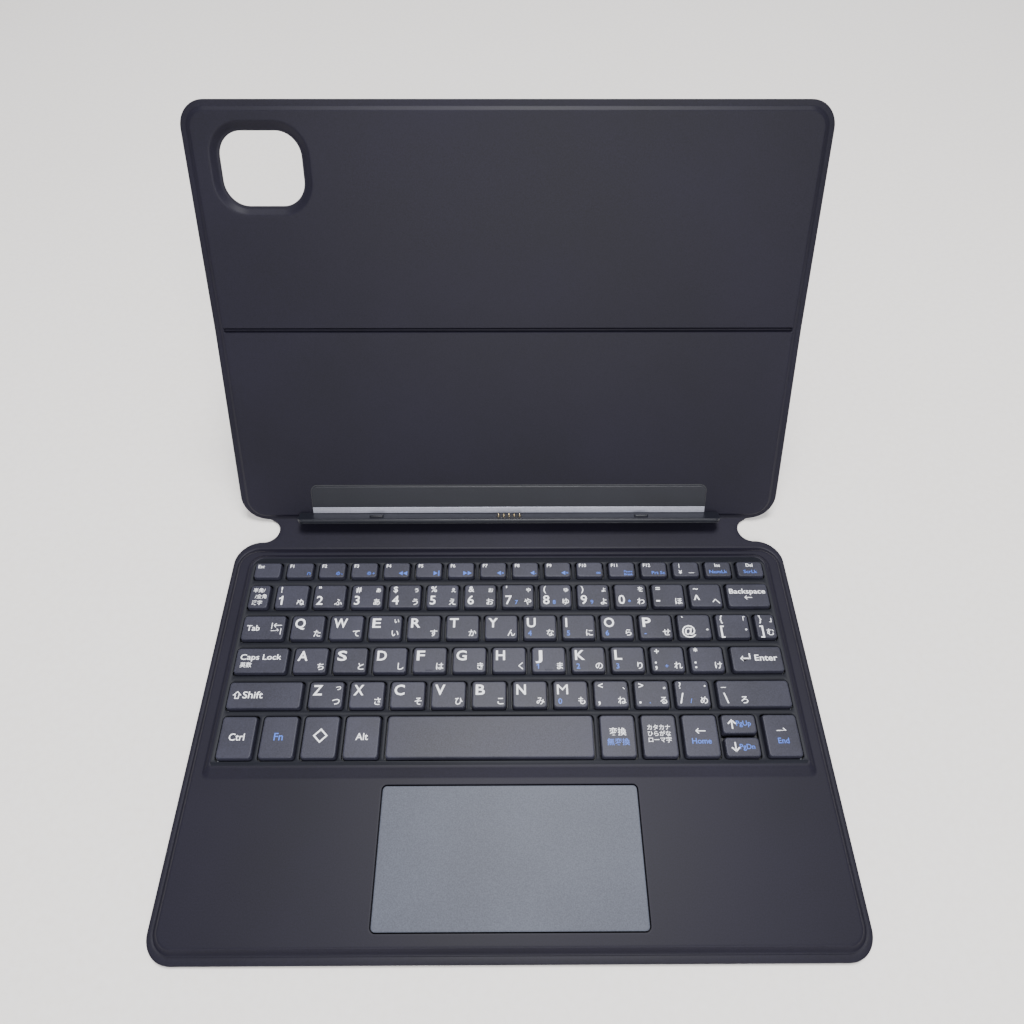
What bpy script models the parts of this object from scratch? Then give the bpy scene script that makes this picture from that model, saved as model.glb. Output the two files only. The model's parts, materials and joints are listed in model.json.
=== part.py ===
"""Tablet keyboard case: a keyboard deck, a hinge strip and a folding back panel with a docking rail.

Frame: X across the case, +Y from the palm rest to the hinge, +Z up; the origin is at the centre of the
underside of the keyboard deck. The case is modelled open, with its back panel leaning back.
"""

import math

import bmesh
import bpy
from mathutils import Vector

MM = 0.001
GAP = 0.3 * MM  # between pieces that stand beside each other
SHIM = 0.15 * MM  # between sheets that lie flat on each other

# Outline
WIDTH = 260 * MM
BASE_DEPTH = 176 * MM
PANEL_LENGTH = 182 * MM
FRONT_RADIUS = 10.5 * MM
REAR_RADIUS = 11.75 * MM
NOTCH_RADIUS = 6.75 * MM  # the half-round notch at each end of the hinge strip
SHARP = 0.4 * MM  # corners that only look square
LEAN = math.radians(58.7)  # lower half of the back panel, up from the table
BEND = math.radians(2.45)  # the upper half stands this much steeper
CREASE_AT = 91.8 * MM  # from the fold line to the crease

# Skins and levels of the keyboard deck, up from the table
SKIN = 0.85 * MM
FLANGE_TOP = 1.8 * MM
DECK_TOP = 4.0 * MM
WEB_TOP = 5.4 * MM  # plastic between the keys
KEY_TOP = 7.0 * MM
KEY_FOOT = 4.0 * MM
KEY_TRAVEL = 1.2 * MM
FLANGE_WIDTH = 2.0 * MM
FLANGE_FRONT = 3.0 * MM
BEVEL_WIDTH = 2.4 * MM

# Back panel, out from the face of its flange
PLATEAU = 1.2 * MM
CREASE_FOOT, CREASE_CROWN = 1.0 * MM, 1.9 * MM  # the bevels on both sides of the crease
FOLD_FOOT, FOLD_CROWN = 1.4 * MM, 2.8 * MM  # the bevel beside the fold
BOARD_RADIUS = 6.6 * MM
BOARD_END = 3.1 * MM  # the stiffeners stop this far from the crease

BASE_FRONT = -BASE_DEPTH / 2
BASE_REAR = BASE_DEPTH / 2
FOLD_LINE = BASE_REAR + 2 * NOTCH_RADIUS
SIDE = WIDTH / 2

# Keyboard: front edge of each row, measured from the front edge of the deck
KEY_BLOCK = 117.6 * MM  # half the width of the block of keys
KEY_GAP = 2.2 * MM
KEY_CLEARANCE = 0.4 * MM
COLLAR_SIDE = 2.4 * MM
COLLAR_FRONT = 4.7 * MM
COLLAR_LIP = 0.5 * MM
FRAME_SIDE = 119.8 * MM
FRAME_FRONT = BASE_FRONT + 68.0 * MM
FRAME_REAR = BASE_FRONT + 165.2 * MM
FRAME_LOW = 1.65 * MM
FRAME_THICK = 1.0 * MM
FRAME_RIM = 0.9 * MM
PLATEAU_REAR = BASE_FRONT + 172.1 * MM  # foot of the deck's rear bevel
CROWN_REAR = BASE_FRONT + 167.6 * MM
ROWS = {
    "function": (153.1, 161.5),
    "digit": (137.5, 149.7),
    "upper": (122.1, 134.2),
    "home": (106.6, 118.7),
    "lower": (91.1, 103.2),
    "space": (70.5, 88.3),
}

# Under the keys: each sheet's underside and top
SUPPORT_PLATE = (1.0 * MM, 1.5 * MM)
MEMBRANE = (1.62 * MM, 1.80 * MM)
DOME_SHEET = (1.92 * MM, 2.10 * MM)
DOME_RADIUS = 2.2 * MM
DOME_TOP = 2.65 * MM
DOME_BACK = 0.6 * MM  # the domes stand this far in front of their keys' middles
PLATE_INSET = 0.6 * MM
SHEET_INSET = 2.6 * MM  # from the support plate's edge

# Touchpad
PAD_WIDTH = 99.8 * MM
PAD_FRONT = BASE_FRONT + 10.0 * MM
PAD_REAR = BASE_FRONT + 60.8 * MM
PAD_TOP = 3.75 * MM
PAD_RADIUS = 1.6 * MM
PAD_LOW = 2.55 * MM
PAD_GAP = 0.45 * MM
PAD_BOARD = (1.95 * MM, 2.4 * MM)
PAD_BOARD_INSET = 1.2 * MM
PALM_STIFFENER = (1.0 * MM, 3.0 * MM)
CONTROL_BOARD = (62.5 * MM, 109.5 * MM, PAD_FRONT + 12.5 * MM, PAD_REAR - 6.5 * MM)
CONTROL_LEVELS = (1.1 * MM, 2.3 * MM)
CONTROL_GAP = 0.5 * MM

# Camera window in the back panel
WINDOW_WIDTH = 33.1 * MM
WINDOW_HEIGHT = 28.0 * MM
WINDOW_RADIUS = 9.6 * MM
WINDOW_LEFT = 13.6 * MM  # from the panel's left edge
WINDOW_ABOVE = 11.1 * MM  # from the panel's top edge
WINDOW_RIM = 3.6 * MM
WINDOW_IN_BOARD = 4.2 * MM  # the stiffener's hole is this much wider
WINDOW_LIP = -0.3 * MM  # where the rim ends, out from the flange's face

# Docking rail, measured up the panel from the fold line and out from the panel's inner face
RAIL_HALF = 101.7 * MM
RAIL_LOW = 2.2 * MM
RAIL_TOP = 4.1 * MM
RAIL_DEPTH = 8.6 * MM
COVER_LOW = 1.7 * MM
DOCK_HALF = 95.1 * MM
DOCK_HIGH = 18.0 * MM
DOCK_THICK = 0.9 * MM
TRIM_HIGH = 7.2 * MM
POCKET_HALF = 95 * MM
POCKET_TOP = 3.3 * MM
POCKET_WALL = 1.2 * MM
POCKET_FRONT = 1.0 * MM
MAGNET_AT = 40 * MM
MAGNET_HALF = 20 * MM
PIN_PITCH = 2.54 * MM
PIN_OUT = 5.2 * MM  # pins' distance from the panel's face
PIN_LOW = 3.05 * MM
PIN_HIGH = 5.6 * MM
TAB_AT = 63.8 * MM
TAB_HALF = 3.4 * MM
TAB_HEIGHT = 0.8 * MM

COLOURS = {
    "soft_skin": ((0.043, 0.042, 0.055), 0.62, 0.0),
    "key_plastic": ((0.050, 0.050, 0.066), 0.5, 0.0),
    "frame_plastic": ((0.051, 0.055, 0.066), 0.5, 0.0),
    "pad_film": ((0.22, 0.23, 0.27), 0.35, 0.0),
    "dock_plastic": ((0.045, 0.048, 0.060), 0.4, 0.0),
    "trim_metal": ((0.62, 0.63, 0.68), 0.25, 1.0),
    "gold": ((0.85, 0.62, 0.28), 0.25, 1.0),
    "steel": ((0.50, 0.50, 0.52), 0.4, 1.0),
    "board": ((0.03, 0.16, 0.08), 0.5, 0.0),
    "stiffener": ((0.10, 0.10, 0.10), 0.7, 0.0),
    "rubber": ((0.30, 0.31, 0.33), 0.8, 0.0),
    "film": ((0.55, 0.50, 0.35), 0.4, 0.0),
}


def material(slot):
    """The material of one finish, made once."""
    found = bpy.data.materials.get(slot)
    if found:
        return found
    colour, roughness, metallic = COLOURS[slot]
    made = bpy.data.materials.new(slot)
    made.use_nodes = True
    shader = made.node_tree.nodes["Principled BSDF"]
    shader.inputs["Base Color"].default_value = (*colour, 1)
    shader.inputs["Roughness"].default_value = roughness
    shader.inputs["Metallic"].default_value = metallic
    return made


def place(name, mesh, slot, parent=None):
    """An object for a finished mesh, under its joint's empty if it has one."""
    piece = bpy.data.objects.new(name, mesh)
    bpy.context.scene.collection.objects.link(piece)
    mesh.materials.append(material(slot))
    piece.parent = parent
    return piece


def shells(name, bodies):
    """A mesh of closed bodies, each lofted through rings of equal count.

    The rings run counter-clockwise, seen from the last ring's side.
    """
    shape = bmesh.new()
    for rings in bodies:
        loops = [[shape.verts.new(point) for point in ring] for ring in rings]
        shape.faces.new(list(reversed(loops[0])))
        shape.faces.new(loops[-1])
        for below, above in zip(loops, loops[1:]):
            for i in range(len(below)):
                j = (i + 1) % len(below)
                shape.faces.new((below[i], below[j], above[j], above[i]))
    mesh = bpy.data.meshes.new(name)
    shape.to_mesh(mesh)
    shape.free()
    return mesh


def loft(name, rings, slot, parent=None):
    """A piece through one list of rings."""
    return place(name, shells(name, [rings]), slot, parent)


def combine(piece, name, bodies, operation):
    """Cuts bodies out of a piece, or joins them on, with a guide that isn't built."""
    guide = bpy.data.objects.new(name, shells(name, bodies))
    bpy.context.scene.collection.objects.link(guide)
    guide.parent = piece.parent
    guide.hide_render = True
    guide.display_type = "WIRE"
    modifier = piece.modifiers.new(name, "BOOLEAN")
    modifier.operation = operation
    modifier.object = guide


def rounded(x0, x1, y0, y1, radii, steps=5):
    """A rectangle's outline, counter-clockwise; its radii start near-left and end far-left."""
    corners = ((x0, y0, 180), (x1, y0, 270), (x1, y1, 0), (x0, y1, 90))
    points = []
    for (x, y, start), radius in zip(corners, radii):
        cx = x + radius if x == x0 else x - radius
        cy = y + radius if y == y0 else y - radius
        for i in range(steps + 1):
            turn = math.radians(start + 90 * i / steps)
            points.append((cx + radius * math.cos(turn), cy + radius * math.sin(turn)))
    return points


def square(x0, x1, y0, y1):
    return [(x0, y0), (x1, y0), (x1, y1), (x0, y1)]


def at(outline, z):
    """An outline lifted to one height."""
    return [(x, y, z) for x, y in outline]


def block(x0, x1, y0, y1, z0, z1):
    """The rings of a plain block."""
    return [at(square(x0, x1, y0, y1), z0), at(square(x0, x1, y0, y1), z1)]


def prism(x0, x1, section):
    """The rings of a bar along X, from its (y, z) section, listed counter-clockwise seen from +X."""
    return [[(x, y, z) for y, z in section] for x in (x0, x1)]


def post(x, y, radius, z, sides):
    """One ring of an upright post."""
    turns = [2 * math.pi * (i + 0.5) / sides for i in range(sides)]
    return [(x + radius * math.cos(t), y + radius * math.sin(t), z) for t in turns]


def joint(name, location, turn=0.0, parent=None):
    """An empty on a joint's axis, which runs along its own X."""
    empty = bpy.data.objects.new(name, None)
    bpy.context.scene.collection.objects.link(empty)
    empty.location = location
    empty.rotation_euler = (turn, 0, 0)
    empty.parent = parent
    return empty


# ---- keyboard layout ---------------------------------------------------------------------------------

def across(names, left, right, gap=KEY_GAP / MM):
    """Equal keys from left to right, in millimetres."""
    width = (right - left - gap * (len(names) - 1)) / len(names)
    step = width + gap
    return [(name, left + i * step, left + i * step + width) for i, name in enumerate(names)]


def layout():
    """Each key as (name, row, left, right, front, back), in metres."""
    block_half = KEY_BLOCK / MM
    rows = {
        "function": across(
            ["esc"] + [f"f{i}" for i in range(1, 13)] + ["yen", "insert", "delete"],
            -block_half, block_half, 2.35,
        ),
        "digit": [("kanji", -block_half, -108.1)]
        + across([f"digit_{i}" for i in range(12)], -105.5, 96.2)
        + [("backspace", 98.3, block_half)],
        "upper": [("tab", -block_half, -98.6)]
        + across([f"upper_{i}" for i in range(12)], -96.2, 106.0, 2.1)
        + [("bracket", 108.4, block_half)],
        "home": [("caps", -block_half, -94.9)]
        + across([f"home_{i}" for i in range(11)], -92.6, 92.2)
        + [("enter", 95.1, block_half)],
        "lower": [("shift", -block_half, -86.4)]
        + across([f"lower_{i}" for i in range(10)], -83.9, 83.8)
        + [("ro", 86.7, block_half)],
        "space": across(["ctrl", "fn", "home_key", "alt"], -117.5, -52.4)
        + [("space_bar", -50.0, 34.2)]
        + across(["convert", "kana", "left"], 36.5, 84.7)
        + [("up", 86.3, 100.8), ("down", 86.3, 100.8), ("right", 103.3, block_half)],
    }
    keys = []
    for row, entries in rows.items():
        front, back = ROWS[row]
        for name, left, right in entries:
            near, far = front, back
            if name == "up":
                near = (front + back) / 2 + 0.5
            if name == "down":
                far = (front + back) / 2 - 0.5
            keys.append((name, row, left * MM, right * MM, BASE_FRONT + near * MM, BASE_FRONT + far * MM))
    return keys


def cap(left, right, front, back):
    """The rings of one keycap: a tapered block with cut corners and a chamfered top."""
    rings = []
    for inset, z in ((0, KEY_FOOT), (0.15 * MM, KEY_TOP - 0.4 * MM), (0.5 * MM, KEY_TOP)):
        corner = 0.9 * MM
        x0, x1, y0, y1 = left + inset, right - inset, front + inset, back - inset
        outline = [
            (x0 + corner, y0), (x1 - corner, y0), (x1, y0 + corner), (x1, y1 - corner),
            (x1 - corner, y1), (x0 + corner, y1), (x0, y1 - corner), (x0, y0 + corner),
        ]
        rings.append(at(outline, z))
    return rings


BANKS = {
    "keys_function_row": [f"f{i}" for i in range(1, 13)],
    "keys_digit_row": [f"digit_{i}" for i in range(12)],
    "keys_upper_row": [f"upper_{i}" for i in range(12)],
    "keys_home_row": [f"home_{i}" for i in range(11)],
    "keys_lower_row": [f"lower_{i}" for i in range(10)],
}
RAIL_WIDTH = 2.4 * MM
KEY_RAIL_LOW = 3.5 * MM
KEY_RAIL_HIGH = 4.25 * MM


def build_keys(keys):
    """A piece for each single key, and one for each bank of keys that share a hidden rail."""
    by_name = {key[0]: key[2:] for key in keys}
    banked = {name for names in BANKS.values() for name in names}
    for name, box in by_name.items():
        if name not in banked:
            loft(f"key_{name}", cap(*box), "key_plastic")
    for bank, names in BANKS.items():
        boxes = [by_name[name] for name in names]
        back = boxes[0][3]
        caps = place(bank, shells(bank, [cap(*box) for box in boxes]), "key_plastic")
        rail = block(
            boxes[0][0] + GAP, boxes[-1][1] - GAP,
            back - GAP - RAIL_WIDTH, back - GAP,
            KEY_RAIL_LOW, KEY_RAIL_HIGH,
        )
        combine(caps, f"{bank}_rail", [rail], "UNION")


# ---- keyboard deck -----------------------------------------------------------------------------------

def outline_of_base(inset, rear, front=0.0):
    """The deck's outline, inset at the sides and by front more at the front, its rear edge at rear."""
    radii = (
        FRONT_RADIUS - inset, FRONT_RADIUS - inset,
        REAR_RADIUS - inset, REAR_RADIUS - inset,
    )
    return rounded(-SIDE + inset, SIDE - inset, BASE_FRONT + inset + front, rear, radii)


def build_base_skins():
    """The flat bottom skin, and the upper skin with its flange, plateau and raised collar."""
    edge = outline_of_base(0, BASE_REAR - SHIM)
    loft("base_bottom_skin", [at(edge, 0), at(edge, SKIN)], "soft_skin")
    foot = FLANGE_WIDTH
    crown = FLANGE_WIDTH + BEVEL_WIDTH
    front = FLANGE_FRONT - FLANGE_WIDTH
    deck = loft(
        "base_deck_skin",
        [
            at(edge, SKIN + SHIM / 2),
            at(edge, FLANGE_TOP),
            at(outline_of_base(foot, PLATEAU_REAR, front), FLANGE_TOP),
            at(outline_of_base(crown, CROWN_REAR, front), DECK_TOP),
        ],
        "soft_skin",
    )
    inner_foot = outline_of_base(foot + SKIN, PLATEAU_REAR - SKIN, front)
    inner_crown = outline_of_base(crown + SKIN, CROWN_REAR - SKIN, front)
    cavity = [at(inner_foot, 0), at(inner_foot, FLANGE_TOP), at(inner_crown, DECK_TOP - SKIN)]
    collar_outer = square(
        -FRAME_SIDE - COLLAR_SIDE, FRAME_SIDE + COLLAR_SIDE,
        FRAME_FRONT - COLLAR_FRONT, CROWN_REAR - SHIM,
    )
    collar_inner = square(-FRAME_SIDE, FRAME_SIDE, FRAME_FRONT, FRAME_REAR)
    collar = [at(collar_outer, DECK_TOP - SKIN / 2), at(collar_outer, DECK_TOP), at(collar_inner, WEB_TOP)]
    opening = block(
        -FRAME_SIDE + COLLAR_LIP, FRAME_SIDE - COLLAR_LIP,
        FRAME_FRONT + COLLAR_LIP, FRAME_REAR - COLLAR_LIP,
        -MM, WEB_TOP + MM,
    )
    pad_hole = [at(pad_outline(PAD_GAP), z) for z in (-MM, DECK_TOP + MM)]
    combine(deck, "deck_cavity", [cavity], "DIFFERENCE")
    combine(deck, "deck_collar", [collar], "UNION")
    combine(deck, "key_opening", [opening], "DIFFERENCE")
    combine(deck, "pad_opening", [pad_hole], "DIFFERENCE")


def build_key_frame(keys):
    """The plastic tray around the keys: a pierced plate with a rim down to the support plate.

    The two half-height arrow keys, one behind the other, share one hole.
    """
    inset = COLLAR_LIP + GAP
    x, y0, y1 = FRAME_SIDE - inset, FRAME_FRONT + inset, FRAME_REAR - inset
    hollow = block(-x + FRAME_RIM, x - FRAME_RIM, y0 + FRAME_RIM, y1 - FRAME_RIM, 0, WEB_TOP - FRAME_THICK)
    boxes = {name: box for name, _, *box in keys}
    left, right, _, back = boxes.pop("up")
    boxes["down"] = (left, right, boxes["down"][2], back)
    holes = [
        block(
            left - KEY_CLEARANCE, right + KEY_CLEARANCE,
            front - KEY_CLEARANCE, back + KEY_CLEARANCE,
            KEY_FOOT - KEY_TRAVEL - GAP, WEB_TOP + MM,
        )
        for left, right, front, back in boxes.values()
    ]
    frame = loft("key_frame", block(-x, x, y0, y1, FRAME_LOW, WEB_TOP), "frame_plastic")
    combine(frame, "frame_hollow", [hollow], "DIFFERENCE")
    combine(frame, "frame_holes", holes, "DIFFERENCE")


def build_key_works(keys):
    """The plate, switch membrane and rubber domes under the keys."""
    inset = PLATE_INSET
    x, y0, y1 = FRAME_SIDE - inset, FRAME_FRONT + inset, FRAME_REAR - inset
    loft("support_plate", block(-x, x, y0, y1, *SUPPORT_PLATE), "steel")
    sheet = (-x + SHEET_INSET, x - SHEET_INSET, y0 + SHEET_INSET, y1 - SHEET_INSET)
    loft("switch_membrane", block(*sheet, *MEMBRANE), "film")
    domes = loft("dome_sheet", block(*sheet, *DOME_SHEET), "rubber")
    foot = sum(DOME_SHEET) / 2
    bumps = []
    for _, _, left, right, front, back in keys:
        x, y = (left + right) / 2, (front + back) / 2 - DOME_BACK
        bumps.append([post(x, y, DOME_RADIUS, foot, 6), post(x, y, DOME_RADIUS / 2, DOME_TOP, 6)])
    combine(domes, "dome_bumps", bumps, "UNION")


def pad_outline(out=0.0):
    """The touchpad's outline, grown by out."""
    radius = PAD_RADIUS + out
    half = PAD_WIDTH / 2 + out
    return rounded(-half, half, PAD_FRONT - out, PAD_REAR + out, (radius,) * 4, 3)


def build_palm_rest():
    """The stiffener under the palm rest, the touchpad with its board, its switch, and the controller."""
    inset = FLANGE_WIDTH + BEVEL_WIDTH + 2 * SKIN
    radii = (FRONT_RADIUS - inset / 2,) * 2 + (MM,) * 2
    near = BASE_FRONT + inset + FLANGE_FRONT - FLANGE_WIDTH
    shape = rounded(-SIDE + inset, SIDE - inset, near, FRAME_FRONT - SHIM, radii)
    board = loft("palm_stiffener", [at(shape, z) for z in PALM_STIFFENER], "stiffener")
    left, right, front, back = CONTROL_BOARD
    wells = [
        [at(pad_outline(2 * PAD_GAP), z) for z in (0, 2 * DECK_TOP)],
        block(
            left - CONTROL_GAP, right + CONTROL_GAP, front - CONTROL_GAP, back + CONTROL_GAP,
            0, 2 * DECK_TOP,
        ),
    ]
    combine(board, "stiffener_wells", wells, "DIFFERENCE")
    loft("control_board", block(*CONTROL_BOARD, *CONTROL_LEVELS), "board")
    pivot = joint("touchpad_pivot", (0, PAD_REAR, (PAD_LOW + PAD_TOP) / 2))
    offset = Vector(pivot.location)

    def pad_ring(z, inset=0.0):
        return [tuple(Vector(p) - offset) for p in at(pad_outline(-inset), z)]

    loft("touchpad", [pad_ring(PAD_LOW), pad_ring(PAD_TOP)], "pad_film", pivot)
    loft("touchpad_board", [pad_ring(z, PAD_BOARD_INSET) for z in PAD_BOARD], "board", pivot)
    switch = [post(0, PAD_FRONT + 5 * MM, 2.5 * MM, z, 12) for z in (1.0 * MM, 1.3 * MM)]
    loft("touchpad_switch", switch, "steel")


# ---- hinge strip -------------------------------------------------------------------------------------

def strip_outline():
    """The hinge strip seen from above: straight where it folds, with a half-round notch at each end."""
    near, far = BASE_REAR + SHIM, FOLD_LINE - SHIM
    middle = (near + far) / 2
    reach = SIDE - REAR_RADIUS
    right = []
    count = 8
    for i in range(count + 1):
        y = near + (far - near) * (1 - math.cos(math.pi * i / count)) / 2
        depth = math.sqrt(max(NOTCH_RADIUS**2 - (y - middle) ** 2, 0))
        right.append((reach - depth, y))
    return right + [(-x, y) for x, y in reversed(right)]


def build_strip():
    """The strip's two skins, and the flat cable from the dock that runs between them."""
    hinge = joint("spine_hinge", (0, BASE_REAR, FLANGE_TOP))
    outline = [(x, y - BASE_REAR) for x, y in strip_outline()]
    for name, levels in (("outer", (0, 0.7 * MM)), ("inner", (1.1 * MM, FLANGE_TOP))):
        rings = [at(outline, z - FLANGE_TOP) for z in levels]
        loft(f"spine_{name}_skin", rings, "soft_skin", hinge)
    run = FOLD_LINE - BASE_REAR - SHIM
    cable = block(-7 * MM, 7 * MM, SHIM, run, 0.8 * MM - FLANGE_TOP, 1.0 * MM - FLANGE_TOP)
    loft("spine_cable", cable, "film", hinge)
    return hinge


# ---- back panel --------------------------------------------------------------------------------------

def panel_layer(name, start, end, radii, low, high, inset, slot, parent):
    """One flat layer of the panel between two distances up it."""
    outline = rounded(-SIDE + inset, SIDE - inset, start, end, radii)
    return loft(name, [at(outline, low), at(outline, high)], slot, parent)


def panel_inner_skin(name, start, end, radii, lift, parent, foot, crown):
    """The inner skin: a flange round the outside, a raised plateau, and a pocket behind for the stiffener.

    foot and crown are how far the bevel's foot and crown stand in from the sides, the start and the end.
    """
    def ring(inset, z):
        side, near, far = inset
        shape = rounded(
            -SIDE + side, SIDE - side, start + near, end - far,
            tuple(max(radius - side, SHARP) for radius in radii),
        )
        return at(shape, z + lift)

    flange_low = SHIM / 2 - SKIN
    grown = tuple(value + SKIN for value in crown)
    skin = loft(
        name,
        [ring((0, 0, 0), flange_low), ring((0, 0, 0), 0), ring(foot, 0), ring(crown, PLATEAU)],
        "soft_skin",
        parent,
    )
    combine(skin, f"{name}_pocket", [[ring(grown, -2 * SKIN), ring(grown, PLATEAU - SKIN)]], "DIFFERENCE")
    return skin


def build_panel(hinge):
    """Both halves of the back panel, each of an outer skin, a stiffener and an inner skin."""
    tilt = joint("panel_hinge", (0, FOLD_LINE - BASE_REAR, 0), LEAN, hinge)
    crease = joint("crease_hinge", (0, CREASE_AT, -FLANGE_TOP), BEND, tilt)
    side_bevel = FLANGE_WIDTH + BEVEL_WIDTH
    low_radii = (REAR_RADIUS, REAR_RADIUS, SHARP, SHARP)
    high_radii = (SHARP, SHARP, FRONT_RADIUS, FRONT_RADIUS)
    low_span = (SHIM, CREASE_AT - SHIM)
    high_span = (SHIM, PANEL_LENGTH - CREASE_AT)
    back_top = SKIN - FLANGE_TOP
    board_low, board_high = back_top + SHIM, PLATEAU - SKIN - SHIM
    board_inset = side_bevel + SKIN + GAP

    panel_layer("back_lower_outer_skin", *low_span, low_radii, -FLANGE_TOP, back_top, 0, "soft_skin", tilt)
    panel_inner_skin(
        "back_lower_inner_skin", *low_span, low_radii, 0, tilt,
        (FLANGE_WIDTH, FOLD_FOOT, CREASE_FOOT), (side_bevel, FOLD_CROWN, CREASE_CROWN),
    )
    panel_layer(
        "back_lower_stiffener", low_span[0] + board_inset, low_span[1] - BOARD_END,
        (BOARD_RADIUS,) * 2 + (SHARP,) * 2, board_low, board_high, board_inset, "stiffener", tilt,
    )

    lift = FLANGE_TOP
    outer = panel_layer(
        "back_upper_outer_skin", *high_span, high_radii, lift - FLANGE_TOP, lift + back_top, 0,
        "soft_skin", crease,
    )
    inner = panel_inner_skin(
        "back_upper_inner_skin", *high_span, high_radii, lift, crease,
        (FLANGE_WIDTH, CREASE_FOOT, FLANGE_WIDTH), (side_bevel, CREASE_CROWN, side_bevel),
    )
    board = panel_layer(
        "back_upper_stiffener", high_span[0] + BOARD_END, high_span[1] - board_inset,
        (SHARP,) * 2 + (BOARD_RADIUS,) * 2, lift + board_low, lift + board_high, board_inset,
        "stiffener", crease,
    )
    x0 = -SIDE + WINDOW_LEFT
    y1 = PANEL_LENGTH - CREASE_AT - WINDOW_ABOVE

    def window(grow, z):
        shape = rounded(
            x0 - grow, x0 + WINDOW_WIDTH + grow, y1 - WINDOW_HEIGHT - grow, y1 + grow,
            (WINDOW_RADIUS + grow,) * 4,
        )
        return at(shape, z)

    rim_low, rim_high = lift + WINDOW_LIP, lift + PLATEAU
    slope = WINDOW_RIM / (rim_high - rim_low)
    dish = [window(0, -MM), window(0, rim_low), window(WINDOW_RIM + slope * MM, rim_high + MM)]
    combine(outer, "window_through", [[window(0, -MM), window(0, 5 * MM)]], "DIFFERENCE")
    wider = [window(WINDOW_IN_BOARD, z) for z in (-MM, 5 * MM)]
    combine(board, "window_in_board", [wider], "DIFFERENCE")
    combine(inner, "window_dish", [dish], "DIFFERENCE")
    return tilt


# ---- docking rail ------------------------------------------------------------------------------------

def build_dock(tilt):
    """The docking rail at the foot of the panel: its housing, cover, trim, tabs, magnets, board and pins."""
    face = PLATEAU + SHIM
    reach = face + RAIL_DEPTH
    out = face + PIN_OUT
    corner = 3 * MM
    places = [PIN_PITCH * (i - 2) for i in range(5)]

    def ledge(low, high, inset=0.0):
        """A bar along X with rounded front corners, its rings stacked up the panel (local Y)."""
        corners = rounded(
            -RAIL_HALF + inset, RAIL_HALF - inset, -reach + inset, -face - inset,
            (corner - inset,) * 2 + (SHARP,) * 2,
        )
        return [[(x, y, -z) for x, z in corners] for y in (low, high)]

    def bar(x, radius, low, high, sides=8):
        """A round bar up the panel, at the pins' distance from its face."""
        turns = [2 * math.pi * (i + 0.5) / sides for i in range(sides)]
        circle = [(x + radius * math.cos(t), out - radius * math.sin(t)) for t in turns]
        return [[(px, y, pz) for px, pz in circle] for y in (low, high)]

    housing = loft("dock_housing", ledge(RAIL_LOW, RAIL_TOP), "dock_plastic", tilt)
    foot = RAIL_LOW + 0.5 * MM
    plate = rounded(-DOCK_HALF, DOCK_HALF, foot, DOCK_HIGH, (SHARP,) * 2 + (corner,) * 2)
    tabs = [
        block(
            x - TAB_HALF, x + TAB_HALF, RAIL_TOP - 0.5 * MM, RAIL_TOP + TAB_HEIGHT,
            out - 1.3 * MM, out + 0.5 * MM,
        )
        for x in (-TAB_AT, TAB_AT)
    ]
    pocket = block(-POCKET_HALF, POCKET_HALF, 0, POCKET_TOP, face + POCKET_WALL, reach - POCKET_FRONT)
    combine(housing, "dock_plate", [[at(plate, face), at(plate, face + DOCK_THICK)]], "UNION")
    combine(housing, "dock_tabs", tabs, "UNION")
    combine(housing, "dock_pocket", [pocket], "DIFFERENCE")
    combine(housing, "pin_bores", [bar(x, 0.8 * MM, 0, 9 * MM) for x in places], "DIFFERENCE")
    loft("dock_cover", ledge(COVER_LOW, RAIL_LOW - SHIM, 0.3 * MM), "dock_plastic", tilt)
    trim_face = face + DOCK_THICK + SHIM
    trim_foot = RAIL_TOP + SHIM
    trim_section = [
        (trim_foot, trim_face), (TRIM_HIGH, trim_face),
        (TRIM_HIGH, trim_face + 0.2 * MM), (trim_foot, trim_face + 0.35 * MM),
    ]
    loft("dock_trim", prism(-DOCK_HALF + SHIM, DOCK_HALF - SHIM, trim_section), "trim_metal", tilt)
    low, high = RAIL_LOW + SHIM, POCKET_TOP - SHIM
    board = block(-9 * MM, 9 * MM, low, RAIL_LOW + 0.4 * MM, face + 1.4 * MM, out - 1.6 * MM)
    loft("pin_board", board, "board", tilt)
    carrier_box = block(-8 * MM, 8 * MM, low, high, out - 1.4 * MM, out + 1.4 * MM)
    carrier = loft("pin_carrier", carrier_box, "stiffener", tilt)
    combine(carrier, "carrier_bores", [bar(x, 0.75 * MM, 0, 5 * MM) for x in places], "DIFFERENCE")
    for i, x in enumerate(places):
        loft(f"pogo_pin_{i + 1}", bar(x, 0.5 * MM, PIN_LOW, PIN_HIGH), "gold", tilt)
    for side, x in (("left", -MAGNET_AT), ("right", MAGNET_AT)):
        magnet = block(x - MAGNET_HALF, x + MAGNET_HALF, low, high, face + 1.4 * MM, reach - 1.2 * MM)
        loft(f"dock_magnet_{side}", magnet, "steel", tilt)


def main():
    for old in list(bpy.data.objects):
        bpy.data.objects.remove(old)
    keys = layout()
    build_base_skins()
    build_key_frame(keys)
    build_key_works(keys)
    build_keys(keys)
    build_palm_rest()
    hinge = build_strip()
    tilt = build_panel(hinge)
    build_dock(tilt)


main()
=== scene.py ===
"""Tablet keyboard case: the skins, keys, touchpad and docking rail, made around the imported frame.

Frame: X across the case, +Y from the palm rest to the hinge, +Z up, in metres. The back panel's pieces are
worked out flat, as (x, u, w): u up the panel from its fold, w out from the face of its flange. They are then
laid in place.
"""

import json
import math

import bpy
import numpy as np
from mathutils import Matrix, Vector
from mathutils.geometry import tessellate_polygon


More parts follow.
